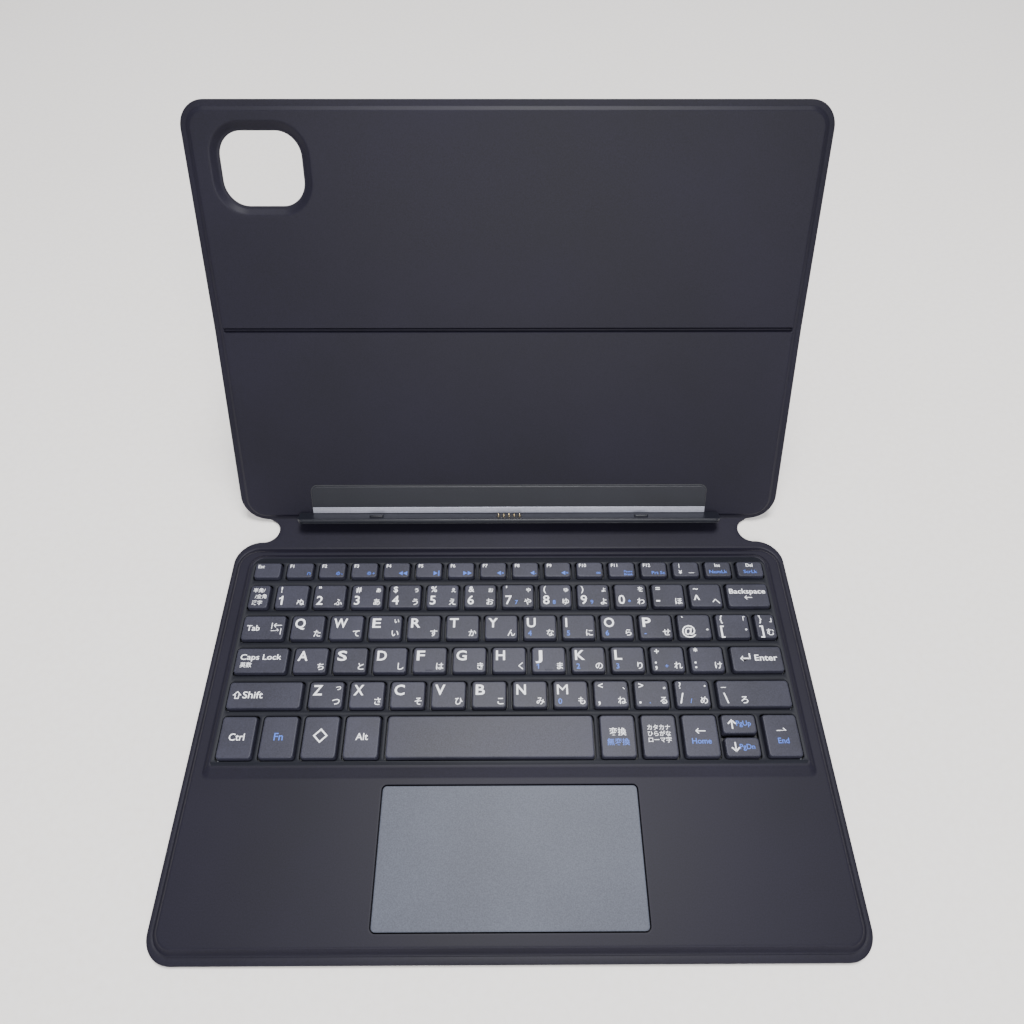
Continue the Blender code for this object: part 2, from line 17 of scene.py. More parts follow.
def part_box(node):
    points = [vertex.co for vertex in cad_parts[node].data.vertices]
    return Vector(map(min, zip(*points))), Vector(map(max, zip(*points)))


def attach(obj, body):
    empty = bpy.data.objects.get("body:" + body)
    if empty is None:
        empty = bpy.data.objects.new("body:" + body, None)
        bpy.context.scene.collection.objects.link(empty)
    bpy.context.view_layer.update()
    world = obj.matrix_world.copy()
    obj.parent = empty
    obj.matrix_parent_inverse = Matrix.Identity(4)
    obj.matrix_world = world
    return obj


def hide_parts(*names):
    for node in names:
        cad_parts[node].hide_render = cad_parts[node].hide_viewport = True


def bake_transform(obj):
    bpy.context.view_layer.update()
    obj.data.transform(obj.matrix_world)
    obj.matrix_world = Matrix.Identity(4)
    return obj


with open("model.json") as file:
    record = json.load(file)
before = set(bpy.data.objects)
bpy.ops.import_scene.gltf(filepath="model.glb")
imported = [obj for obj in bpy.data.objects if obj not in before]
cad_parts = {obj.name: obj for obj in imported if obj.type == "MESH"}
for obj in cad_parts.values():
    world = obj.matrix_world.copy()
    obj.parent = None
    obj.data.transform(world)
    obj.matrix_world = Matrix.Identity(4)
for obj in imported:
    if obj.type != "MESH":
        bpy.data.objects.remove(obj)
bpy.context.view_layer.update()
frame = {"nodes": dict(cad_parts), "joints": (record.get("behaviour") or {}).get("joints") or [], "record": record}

MM = 0.001

# ---- sizes taken from the frame ------------------------------------------------------------------------

JOINTS = {joint["name"]: joint for joint in frame["joints"]}
MOUNTS = {mount["name"]: mount for mount in frame["record"]["mounts"]}
DECK_LOW, DECK_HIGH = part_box("base_deck_skin")
SIDE = DECK_HIGH.x
DECK_FRONT = DECK_LOW.y
HINGE_Y = JOINTS["spine_hinge"]["pos_m"][1]
FOLD_Y = JOINTS["panel_hinge"]["pos_m"][1]
FLANGE = JOINTS["panel_hinge"]["pos_m"][2]  # thickness of the case at its edges and folds
WEB_TOP = DECK_HIGH.z
PAD_LOW, PAD_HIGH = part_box("touchpad")
KEY_LOW, KEY_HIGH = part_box("key_esc")
DOWN_THE_PANEL = JOINTS["pogo_pin_1_press"]["axis"]
LEAN = math.atan2(-DOWN_THE_PANEL[2], -DOWN_THE_PANEL[1])
FACE = MOUNTS["tablet_back_rest"]["axis"]
LEAN_ABOVE = math.atan2(-FACE[1], FACE[2])
CREASE = JOINTS["crease_hinge"]["pos_m"]
CREASE_U = (CREASE[1] - FOLD_Y) * math.cos(LEAN) + (CREASE[2] - FLANGE) * math.sin(LEAN)

# ---- small features ------------------------------------------------------------------------------------

SKIN = 0.85 * MM
SEAM = 0.93 * MM  # where the upper skin's edge lies on the lower one's
CORNER = 10.5 * MM  # free corners of deck and panel
HINGE_CORNER = 11.75 * MM  # corners beside the hinge strip
NOTCH = (FOLD_Y - HINGE_Y) / 2
NOTCH_X = SIDE - HINGE_CORNER
EDGE = 0.35 * MM  # rounding of the skins' outer edges
EASE = 0.08 * MM  # easing of their seam edges
TIGHT = 0.02 * MM  # room between two pieces that lie on each other
FOOT, CROWN = 2.0 * MM, 4.4 * MM  # bevel, in from the sides
DECK_TOP = 4.0 * MM
PLATEAU = 1.2 * MM
PANEL_TOP = 182 * MM - CREASE_U  # of the upper half, from the crease
PLATFORM = (119.8 * MM, 68.0 * MM, 165.2 * MM)  # half width; front and rear, from the deck's front edge
PLATFORM_FOOT = (2.4 * MM, 4.7 * MM, 2.2 * MM)  # how far its slope reaches out at the sides, front and rear
LIP = 0.5 * MM
DECK_CUT = HINGE_Y - 3 * MM  # the hinge strip's skins take over here
PANEL_CUT = 1.2 * MM
CREASE_CUT = 3.0 * MM  # either side of the crease
CREASE_BEND = 1.6 * MM
STEPS = 12  # to a quarter turn
NO_AREA = 1e-13  # square metres, below which a triangle is dropped


# ---- curves and profiles -------------------------------------------------------------------------------

def ramp(t, soft=0.15):
    """0 to 1 along a straight slope whose two ends are eased over a share soft by quarter parabolas."""
    t = np.clip(t, 0, 1)
    start = t**2 / (2 * soft * (1 - soft))
    end = 1 - (1 - t) ** 2 / (2 * soft * (1 - soft))
    middle = (t - soft / 2) / (1 - soft)
    return np.where(t < soft, start, np.where(t > 1 - soft, end, middle))


def quarter(count=4):
    """Points of a unit quarter circle from (1, 0) to (0, 1), as their cosines and sines."""
    t = np.linspace(0, np.pi / 2, count + 1)
    return np.cos(t), np.sin(t)


def ring(x0, x1, y0, y1, radii, z, near=-np.inf, far=np.inf, steps=STEPS):
    """A level outline, counter-clockwise from above: a rectangle with four arcs for corners.

    Each corner is its centre plus radius times (cos t, sin t), t running from the side to the front or rear
    edge. near and far cut it straight across: an arc then stops where radius times sin t reaches the cut.
    """
    rows = []
    places = ((x0, y0, -1, -1), (x1, y0, 1, -1), (x1, y1, 1, 1), (x0, y1, -1, 1))
    for (x, y, right, up), radius in zip(places, radii):
        radius = max(radius, TIGHT)
        centre = (x - right * radius, y - up * radius)
        room = (far - centre[1]) if up > 0 else (centre[1] - near)
        end = math.asin(min(max(room / radius, -1), 1))
        t = np.linspace(0, end, steps + 1)
        if right * up < 0:
            t = t[::-1]
        arc = (centre[0] + right * radius * np.cos(t), centre[1] + up * radius * np.sin(t))
        rows.append(np.stack(arc, 1))
    flat = np.concatenate(rows)
    return np.column_stack((flat, np.full(len(flat), z)))


class Surface:
    """A closed surface put together from rows of points, bands between them and flat fills."""

    def __init__(self):
        """Starts with no points and no faces."""
        self.rows = []
        self.faces = []
        self.count = 0

    def put(self, points):
        """Adds points and returns their numbers."""
        ids = np.arange(self.count, self.count + len(points))
        self.rows.append(np.asarray(points, float))
        self.count += len(points)
        return ids

    def band(self, lower, upper, closed=True):
        """Quads between two equal rows, the rows closed on themselves or open."""
        quads = np.stack((lower, np.roll(lower, -1), np.roll(upper, -1), upper), 1)
        self.faces += (quads if closed else quads[:-1]).tolist()

    def stack(self, rings):
        """Bands through a list of rings; returns the first and the last ring's numbers."""
        ids = [self.put(points) for points in rings]
        for lower, upper in zip(ids, ids[1:]):
            self.band(lower, upper)
        return ids[0], ids[-1]

    def solid(self, rings):
        """Bands through a list of rings, with a flat face below the first and above the last."""
        first, last = self.stack(rings)
        self.fill(first, up=False)
        self.fill(last)

    def fill(self, outer, holes=(), up=True):
        """A flat face between an outline and its holes, as triangles that all face up, or all down."""
        points = np.concatenate(self.rows)
        loops = [outer, *holes]
        ids = np.concatenate(loops)
        flat = [[Vector((*points[i][:2], 0)) for i in loop] for loop in loops]
        found = np.array(tessellate_polygon(flat))
        a, b, c = (points[ids[found[:, k]]][:, :2] for k in range(3))
        area = (b[:, 0] - a[:, 0]) * (c[:, 1] - a[:, 1]) - (b[:, 1] - a[:, 1]) * (c[:, 0] - a[:, 0])
        keep = np.abs(area) > NO_AREA
        turned = np.where(((area > 0) == up)[:, None], found, found[:, ::-1])
        self.faces += ids[turned[keep]].tolist()

    def make(self, name, material, laid=None, sharp=40):
        """The finished object; laid takes the flat (x, u, w) points to their place."""
        points = np.concatenate(self.rows)
        if laid:
            points = laid(points)
        mesh = bpy.data.meshes.new(name)
        mesh.from_pydata(points.tolist(), [], self.faces)
        mesh.validate()
        mesh.shade_smooth()
        mesh.set_sharp_from_angle(angle=math.radians(sharp))
        mesh.materials.append(material)
        piece = bpy.data.objects.new(name, mesh)
        bpy.context.scene.collection.objects.link(piece)
        return piece


def slab(surface, outline, low, high, edge=EDGE, rounded_foot=True, margin=0.4 * MM):
    """A flat plate with rounded edges: outline(inset, z) gives its rings, the last margin inside the edge."""
    cos, sin = quarter()
    rings = [outline(edge * (1 - c), low + edge * (1 - s)) for c, s in zip(cos[::-1], sin[::-1])]
    if not rounded_foot:
        rings = [outline(0, low)]
    rings += [outline(edge * (1 - c), high - edge * (1 - s)) for c, s in zip(cos, sin)]
    rings.append(outline(edge + margin, high))
    rings.insert(0, outline((edge if rounded_foot else 0) + margin, low))
    surface.solid(rings)


def lower_half(points):
    """(x, u, w) on the lower half of the panel: u leans back by LEAN from the fold."""
    x, u, w = points.T
    c, s = math.cos(LEAN), math.sin(LEAN)
    return np.stack((x, FOLD_Y + u * c - w * s, FLANGE + u * s + w * c), 1)


def upper_half(points):
    """(x, u, w) on the upper half: the crease turns on the outer face, a flange's thickness behind w 0."""
    x, u, w = points.T
    c, s = math.cos(LEAN_ABOVE), math.sin(LEAN_ABOVE)
    out = w + FLANGE
    return np.stack((x, CREASE[1] + u * c - out * s, CREASE[2] + u * s + out * c), 1)


def over_fold(points):
    """(x, y, w) of the hinge strip, bent round the fold by an arc tangent to the table and to the panel."""
    radius = 1.0 * MM
    reach = radius * math.tan(LEAN / 2)
    x, y, w = points.T
    along = y - (FOLD_Y - reach)
    turn = LEAN * np.clip(along / (2 * reach), 0, 1)
    start = np.minimum(along, 0)
    end = np.maximum(along - 2 * reach, 0)
    at_y = FOLD_Y - reach + start + radius * np.sin(turn) + end * math.cos(LEAN)
    at_z = FLANGE + radius * (1 - np.cos(turn)) + end * math.sin(LEAN)
    return np.stack((x, at_y - w * np.sin(turn), at_z + w * np.cos(turn)), 1)


def over_crease(points):
    """(x, u, w) across the crease, turned about its axis by an angle that grows over CREASE_BEND."""
    x, u, w = points.T
    turn = (LEAN_ABOVE - LEAN) * ramp((u - CREASE_U) / CREASE_BEND + 0.5)
    c, s = np.cos(turn), np.sin(turn)
    du, dw = u - CREASE_U, w + FLANGE
    return lower_half(np.stack((x, CREASE_U + du * c - dw * s, -FLANGE + du * s + dw * c), 1))


# ---- materials -----------------------------------------------------------------------------------------

GRAIN_DEPTH = 0.05 * MM
GRAIN_SHARE, CLOUD_SHARE = 0.6, 0.4  # of the two patterns in a finish's colour


def linear(code):
    """An sRGB hex colour as linear RGBA."""
    value = np.array([int(code[i:i + 2], 16) for i in (1, 3, 5)]) / 255
    value = np.where(value <= 0.04045, value / 12.92, ((value + 0.055) / 1.055) ** 2.4)
    return (*value.tolist(), 1.0)


def add(tree, kind, settings=None, **inputs):
    """A node with its settings, and its inputs set to a value or linked from another node's output."""
    node = tree.nodes.new(kind)
    for name, value in (settings or {}).items():
        setattr(node, name, value)
    for name, value in inputs.items():
        socket = node.inputs[name.replace("_", " ")]
        if isinstance(value, bpy.types.NodeSocket):
            tree.links.new(value, socket)
        else:
            socket.default_value = value
    return node


def finish(name, dark, light, grain, cloud, bump, rough, **sockets):
    """A surface whose colour drifts between two tones and speckles with the grain that also gives its bump.

    grain and cloud are the two patterns' sizes in metres; rough is the lowest and highest roughness.
    """
    material = bpy.data.materials.new(name)
    material.use_nodes = True
    tree = material.node_tree
    shader = tree.nodes["Principled BSDF"]
    place = add(tree, "ShaderNodeTexCoord").outputs["Object"]
    fine = add(tree, "ShaderNodeTexNoise", Vector=place, Scale=1 / grain, Detail=3.0).outputs["Fac"]
    broad = add(tree, "ShaderNodeTexNoise", Vector=place, Scale=1 / cloud, Detail=2.0).outputs["Fac"]
    share = add(tree, "ShaderNodeMath", {"operation": "MULTIPLY_ADD"})
    tree.links.new(fine, share.inputs[0])
    share.inputs[1].default_value = GRAIN_SHARE
    drift = add(tree, "ShaderNodeMath", {"operation": "MULTIPLY"})
    tree.links.new(broad, drift.inputs[0])
    drift.inputs[1].default_value = CLOUD_SHARE
    tree.links.new(drift.outputs[0], share.inputs[2])
    tone = add(tree, "ShaderNodeMapRange", Value=share.outputs[0])
    tone.inputs["From Min"].default_value = 0.35
    tone.inputs["From Max"].default_value = 0.65
    mix = add(tree, "ShaderNodeMix", {"data_type": "RGBA"})
    tree.links.new(tone.outputs[0], mix.inputs[0])
    mix.inputs[6].default_value = linear(dark)
    mix.inputs[7].default_value = linear(light)
    tree.links.new(mix.outputs[2], shader.inputs["Base Color"])
    gloss = add(tree, "ShaderNodeMapRange", Value=broad)
    gloss.inputs["To Min"].default_value, gloss.inputs["To Max"].default_value = rough
    tree.links.new(gloss.outputs[0], shader.inputs["Roughness"])
    relief = add(tree, "ShaderNodeBump", Height=fine, Strength=bump, Distance=GRAIN_DEPTH)
    tree.links.new(relief.outputs["Normal"], shader.inputs["Normal"])
    for socket, value in sockets.items():
        shader.inputs[socket.replace("_", " ")].default_value = value
    return material


def make_materials():
    """Every finish, by its slot in the record."""
    return {
        # Polyurethane skin, moulded matt over fabric: soft charcoal, a violet cast and a broad dull gloss.
        # The real grain is near 0.1 mm; it is drawn at 0.5 mm so that it shows.
        "soft_skin": finish(
            "soft_touch_polyurethane", "#191820", "#201e2a", 0.5 * MM, 60 * MM, 0.12, (0.42, 0.5),
            Specular_IOR_Level=0.13,
        ),
        # ABS caps, spark-eroded mould: a fine even grain, a little glossier than the skin.
        "key_plastic": finish(
            "spark_grained_abs", "#22222c", "#353543", 0.42 * MM, 25 * MM, 0.3, (0.4, 0.48),
            Specular_IOR_Level=0.25,
        ),
        # ABS plate between the keys, the same mould grain but dulled.
        "frame_plastic": finish(
            "moulded_abs_plate", "#18191f", "#1f2027", 0.5 * MM, 40 * MM, 0.15, (0.45, 0.52),
            Specular_IOR_Level=0.13,
        ),
        # Etched polyester touch film: cool grey with a fine sparkle.
        "pad_film": finish(
            "etched_polyester_film", "#41444f", "#535763", 0.45 * MM, 45 * MM, 0.15, (0.42, 0.48),
            Specular_IOR_Level=0.22,
        ),
        # Polycarbonate rail, satin moulded.
        "dock_plastic": finish(
            "satin_polycarbonate", "#17181f", "#1d1e26", 0.6 * MM, 30 * MM, 0.08, (0.3, 0.36),
            Specular_IOR_Level=0.38,
        ),
        # Pale grey strip beside the contacts: a real chamfer strip whose light colour is partly painted highlight,
        # standing in for the overhead light's reflection.
        "trim_metal": finish(
            "satin_rolled_aluminium", "#868793", "#9a9ba7", 0.8 * MM, 50 * MM, 0.03, (0.3, 0.36),
            Metallic=0.35,
        ),
        # Gold plate over nickel.
        "gold": finish(
            "gold_plate", "#d8bf8c", "#efdcb2", 0.3 * MM, 5 * MM, 0.03, (0.18, 0.25), Metallic=1.0,
        ),
        # Cold-rolled steel plate and nickelled magnets.
        "steel": finish(
            "cold_rolled_steel", "#85878c", "#9c9ea3", 0.7 * MM, 20 * MM, 0.1, (0.3, 0.42), Metallic=1.0,
        ),
        # Glass-fibre circuit board under green resist.
        "board": finish(
            "solder_resist", "#14472a", "#1c5a36", 0.6 * MM, 12 * MM, 0.1, (0.3, 0.4),
        ),
        # Black glass-fibre board, woven and pressed.
        "stiffener": finish(
            "pressed_glass_fibre", "#1c1c1e", "#2a2a2c", 0.9 * MM, 30 * MM, 0.2, (0.5, 0.6),
        ),
        # Silicone of the dome sheet, near black; the dark rim around the dock's plate also uses it, as painted
        # shadow.
        "rubber": finish(
            "silicone_rubber", "#232427", "#2e2f33", 0.8 * MM, 20 * MM, 0.1, (0.45, 0.55),
        ),
        # Polyimide film of the membrane and the flat cable.
        "film": finish(
            "polyimide_film", "#a9803a", "#c0954a", 0.8 * MM, 15 * MM, 0.05, (0.25, 0.35),
        ),
    }


def make_inks():
    """The two printed inks of the key legends: baked enamel, slightly raised and dull."""
    return [
        finish("white_key_ink", "#f0f0f4", "#fbfbff", 0.3 * MM, 8 * MM, 0.05, (0.45, 0.55)),
        finish("blue_key_ink", "#3058bb", "#4470d2", 0.3 * MM, 8 * MM, 0.05, (0.45, 0.55)),
    ]


FINISH = make_materials()
INKS = make_inks()


def settle(piece, body, slot, *nodes):
    """Rides a piece on its body and hides the CAD nodes that it stands for; slot is not used."""
    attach(piece, body)
    if nodes:
        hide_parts(*nodes)


# ---- keyboard deck -------------------------------------------------------------------------------------

def deck_ring(inset, z):
    """The deck's outline drawn in: inset at the sides, more at the front, and most at the rear bevel."""
    front = np.interp(inset, (0, FOOT, CROWN, 1), (0, 3.0 * MM, 5.4 * MM, 1.001))
    rear = np.interp(inset, (0, FOOT, CROWN, CROWN + MM, 1), (0, 3.9 * MM, 7.6 * MM, 8.5 * MM, 1.0031))
    radii = (CORNER - inset,) * 2 + (HINGE_CORNER - inset,) * 2
    return ring(-SIDE + inset, SIDE - inset, DECK_FRONT + front, HINGE_Y - rear, radii, z, far=DECK_CUT)


def platform_ring(t, z, out=0.0):
    """The key platform's outline, grown by out: t 0 is the foot of its slope and 1 its crown."""
    half, front, rear = PLATFORM
    side, ahead, behind = (reach * (1 - t) + out for reach in PLATFORM_FOOT)
    radius = 1.6 * MM + 1.4 * MM * (1 - t)
    return ring(
        -half - side, half + side, DECK_FRONT + front - ahead, DECK_FRONT + rear + behind,
        (radius,) * 2 + (HINGE_CORNER - CROWN - 2.4 * MM * t,) * 2, z,
    )


def pad_ring(out, z):
    """The touchpad's outline, grown by out."""
    radii = (1.6 * MM + out,) * 4
    return ring(PAD_LOW.x - out, PAD_HIGH.x + out, PAD_LOW.y - out, PAD_HIGH.y + out, radii, z, steps=6)


def make_deck_skin():
    """The upper skin: a flange, a bevel up to the palm rest, and a slope up to the raised key platform."""
    surface = Surface()
    under = DECK_TOP - SKIN
    dip = 0.16 * MM  # the shallow hollow where the flange meets the bevel
    cos, sin = quarter()
    rings = [deck_ring(CROWN + SKIN, under), deck_ring(FOOT + SKIN, FLANGE), deck_ring(FOOT + SKIN, SEAM)]
    rings += [deck_ring(EASE, SEAM), deck_ring(0, SEAM + EASE)]
    rings += [deck_ring(EDGE * (1 - c), FLANGE - EDGE * (1 - s)) for c, s in zip(cos, sin)]
    for t in np.linspace(0, 1, 7)[:-1]:
        rings.append(deck_ring(FOOT - 0.4 * MM * (1 - t), FLANGE - dip * math.sin(np.pi * t / 2) ** 2))
    for t in np.linspace(0, 1, 17):
        z = FLANGE + (DECK_TOP - FLANGE) * ramp(t, 0.28) - dip * max(1 - 8 * t, 0)
        rings.append(deck_ring(FOOT + (CROWN - FOOT) * t, z))
    rings.append(deck_ring(CROWN + 0.5 * MM, DECK_TOP))
    inner, outer = surface.stack(rings)
    slope = [platform_ring(-0.04, DECK_TOP)]
    for t in np.linspace(0, 1, 15):
        slope.append(platform_ring(t, DECK_TOP + (WEB_TOP - DECK_TOP) * ramp(t, 0.25)))
    slope += [platform_ring(1, WEB_TOP, -LIP + TIGHT), platform_ring(1, WEB_TOP - TIGHT, -LIP)]
    slope.append(platform_ring(1, under, -LIP))
    foot, opening = surface.stack(slope)
    gap = 0.45 * MM
    well = [pad_ring(1.1 * MM, DECK_TOP), pad_ring(gap + 0.2 * MM, DECK_TOP)]
    well += [pad_ring(gap + 0.05 * MM, DECK_TOP - 0.03 * MM), pad_ring(gap, DECK_TOP - 0.12 * MM)]
    well.append(pad_ring(gap, under))
    mouth, floor = surface.stack(well)
    surface.fill(outer, [foot, mouth])
    surface.fill(inner, [opening, floor], up=False)
    settle(surface.make("deck_upper_skin", FINISH["soft_skin"]), "base", "soft_skin", "base_deck_skin")


def outer_skin_rings(outline, low):
    """Rings of an outer skin: its rounded edge, low being its outer face, then its eased seam edge."""
    cos, sin = quarter()
    rings = [outline(EDGE + 0.4 * MM, low)]
    rings += [outline(EDGE * (1 - c), low + EDGE * (1 - s)) for c, s in zip(cos[::-1], sin[::-1])]
    top = low + SEAM - TIGHT
    return rings + [outline(0, top - EASE), outline(EASE, top), outline(MM, top)]


def make_bottom_skin():
    """The flat lower skin, its outer edge rounded and its inner edge eased into the seam."""
    surface = Surface()

    def outline(inset, z):
        radii = (CORNER - inset,) * 2 + (HINGE_CORNER - inset,) * 2
        return ring(-SIDE + inset, SIDE - inset, DECK_FRONT + inset, HINGE_Y - inset, radii, z, far=DECK_CUT)

    surface.solid(outer_skin_rings(outline, 0))
    settle(surface.make("deck_lower_skin", FINISH["soft_skin"]), "base", "soft_skin", "base_bottom_skin")


def make_touchpad():
    """The touch plate, with a fine bevel round its top."""
    surface = Surface()
    slab(surface, lambda inset, z: pad_ring(-inset, z), PAD_LOW.z, PAD_HIGH.z, 0.2 * MM, rounded_foot=False)
    settle(surface.make("touch_plate", FINISH["pad_film"]), "touchpad", "pad_film", "touchpad")


# ---- keys ----------------------------------------------------------------------------------------------

BANKS = {  # node: keys in it and the gap between them
    "keys_function_row": (12, 2.35 * MM),
    "keys_digit_row": (12, 2.2 * MM),
    "keys_upper_row": (12, 2.1 * MM),
    "keys_home_row": (11, 2.2 * MM),
    "keys_lower_row": (10, 2.2 * MM),
}
SINGLES = (
    "esc yen insert delete kanji backspace tab bracket caps enter shift ro ctrl fn home_key alt space_bar "
    "convert kana left up down right"
).split()
HOMING = ("home_4", "home_7")
INK_HEIGHT = 0.012 * MM


def key_places():
    """Each key's name, body and footprint: a single key's own box, or its equal share of its bank's."""
    found = []
    for name in SINGLES:
        low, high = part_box(f"key_{name}")
        found.append((name, f"key_{name}", low.x, high.x, low.y, high.y))
    for bank, (count, gap) in BANKS.items():
        low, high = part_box(bank)
        width = (high.x - low.x - gap * (count - 1)) / count
        row = bank.split("_")[1]
        for i in range(count):
            left = low.x + i * (width + gap)
            found.append((f"{row}_{i + 1}", bank, left, left + width, low.y, high.y))
    return found


def cap_ring(place, inset, z):
    """A key's outline drawn in by inset, its corners tightening as it shrinks."""
    x0, x1, y0, y1 = place
    return ring(x0 + inset, x1 - inset, y0 + inset, y1 - inset, (1.4 * MM - inset * 0.4,) * 4, z, steps=5)


def make_cap(name, body, place):
    """A keycap: walls that lean in a little, a rounded rim, a flat top, and a bar on the two homing keys."""
    surface = Surface()
    foot, top = KEY_LOW.z, KEY_HIGH.z
    lean, rim = 0.42 * MM, 0.36 * MM
    cos, sin = quarter()
    rings = [cap_ring(place, 0.6 * MM, foot), cap_ring(place, 0, foot)]
    rings.append(cap_ring(place, lean * 0.9, top - rim))
    rings += [cap_ring(place, lean + rim * (1 - c), top - rim * (1 - s)) for c, s in zip(cos, sin)]
    rings.append(cap_ring(place, lean + rim + 0.3 * MM, top))
    surface.solid(rings)
    if name in HOMING:
        middle = (place[0] + place[1]) / 2
        x0, x1, y0, y1 = middle - 1.6 * MM, middle + 1.6 * MM, place[2] + 1.1 * MM, place[2] + 1.5 * MM
        slab(
            surface,
            lambda inset, z: ring(
                x0 + inset, x1 - inset, y0 + inset, y1 - inset, (0.2 * MM - inset,) * 4, z, steps=4
            ),
            top - 0.1 * MM, top + 0.22 * MM, 0.12 * MM, rounded_foot=False, margin=0.03 * MM,
        )
    settle(surface.make(f"cap_{name}", FINISH["key_plastic"]), body, "key_plastic", body)


GLYPHS = {}
UNTHICKENED = ("M", "?")  # marks whose outline would cross itself if it grew


def glyph_one():
    """The figure 1 with a flag: its outline, raised from half a unit down to half a unit up."""
    flat = [(0.2, 0), (0.32, 0), (0.32, CAP_HEIGHT), (0.23, CAP_HEIGHT)]
    flat += [(0.16, 0.6), (0.03, 0.54), (0.03, 0.44), (0.2, 0.5)]
    count = len(flat)
    points = np.array([(x, y, z) for z in (-0.5, 0.5) for x, y in flat])
    faces = [tuple(range(count))[::-1], tuple(range(count, 2 * count))]
    faces += [(i, (i + 1) % count, (i + 1) % count + count, i + count) for i in range(count)]
    return points, faces


def glyphs(text):
    """The filled outlines of a word at size 1, half a unit up and down, made once."""
    if text == "1":
        return glyph_one()
    if text not in GLYPHS:
        curve = bpy.data.curves.new("legend", "FONT")
        curve.body = text
        curve.resolution_u = 3
        curve.extrude = 0.5
        curve.offset = 0 if text in UNTHICKENED else 0.018 if text in CAPITALS else 0.01
        curve.space_line = 1.05
        curve.align_x = "CENTER"
        source = bpy.data.objects.new("legend", curve)
        bpy.context.scene.collection.objects.link(source)
        bpy.context.view_layer.update()
        mesh = bpy.data.meshes.new_from_object(source.evaluated_get(bpy.context.evaluated_depsgraph_get()))
        points = np.zeros(len(mesh.vertices) * 3)
        mesh.vertices.foreach_get("co", points)
        faces = [tuple(face.vertices) for face in mesh.polygons]
        GLYPHS[text] = (points.reshape(-1, 3), faces)
        bpy.data.objects.remove(source)
    return GLYPHS[text]


CAP_HEIGHT = 0.72  # of the letters, as a share of their size
WORD_BREADTH = 1.16
CAPITALS = {  # width of each capital, as a share of its height
    "A": 0.94, "B": 0.84, "C": 0.94, "D": 0.9, "E": 0.82, "F": 0.76, "G": 0.98, "H": 0.86, "J": 0.64,
    "K": 0.92, "L": 0.7, "M": 1.02, "N": 0.88, "O": 1.0, "P": 0.82, "Q": 1.0, "R": 0.9, "S": 0.88,
    "T": 0.86, "U": 0.86, "V": 0.92, "W": 1.32, "X": 0.92, "Y": 0.92, "Z": 0.86,
}


def breadth(text, outline):
    """How far a mark is stretched sideways, to the even breadth of a grotesque face."""
    if text in CAPITALS:
        return CAPITALS[text] * CAP_HEIGHT / np.ptp(outline[:, 0])
    return WORD_BREADTH if len(text) > 4 and text.isascii() else 1.0


# Where each kind of legend stands on a letter key: side it is aligned to, distance from that side,
# baseline above the key's front edge, capital height, ink.
MAIN = ("left", 1.8, 5.9, 4.5, 0)
DIGIT = ("left", 1.8, 1.9, 4.5, 0)
SHIFTED = ("left", 2.1, 8.2, 2.9, 0)
KANA = ("right", 1.4, 1.8, 2.6, 0)
SMALL_KANA = ("right", 1.5, 8.2, 2.1, 0)
PAD_DIGIT = ("left", 2.2, 1.8, 2.4, 1)
INNER_DIGIT = ("left", 6.1, 1.9, 2.0, 1)
NONE = "·"

LETTERS = {  # letter, kana, small kana, number pad
    "upper": "Qた·· Wて·· Eいぃ· Rす·· Tか·· Yん·· Uな·4 Iに·5 Oら·6 Pせ·-",
    "home": "Aち·· Sと·· Dし·· Fは·· Gき·· Hく·· Jま·1 Kの·2 Lり·3",
    "lower": "Zつっ· Xさ·· Cそ·· Vひ·· Bこ·· Nみ·· Mも·0",
}
SIGNS = {  # sign, shifted sign, kana, small kana, number pad
    "digit_1": "1!ぬ··", "digit_2": '2"ふ··', "digit_3": "3#あぁ·", "digit_4": "4$うぅ·",
    "digit_5": "5%えぇ·", "digit_6": "6&おぉ·", "digit_7": "7'やゃ7", "digit_8": "8(ゆゅ8",
    "digit_9": "9)よょ9", "digit_10": "0·わを*", "digit_11": "-=ほ··", "digit_12": "^~へ··",
    "upper_11": "@`゛··", "upper_12": "[{゜「·", "bracket": "]}む」·",
    "home_10": ";+れ·+", "home_11": ":*け··",
    "lower_8": ",<ね、·", "lower_9": ".>る。.", "lower_10": "/?め・/",
}
FUNCTION_ICONS = ("∩", "☼-", "☼+", "◀◀", "▶‖", "▶▶", "◀×", "◀-", "◀+", "∞", "Pause\nBreak", "Prt Sc")
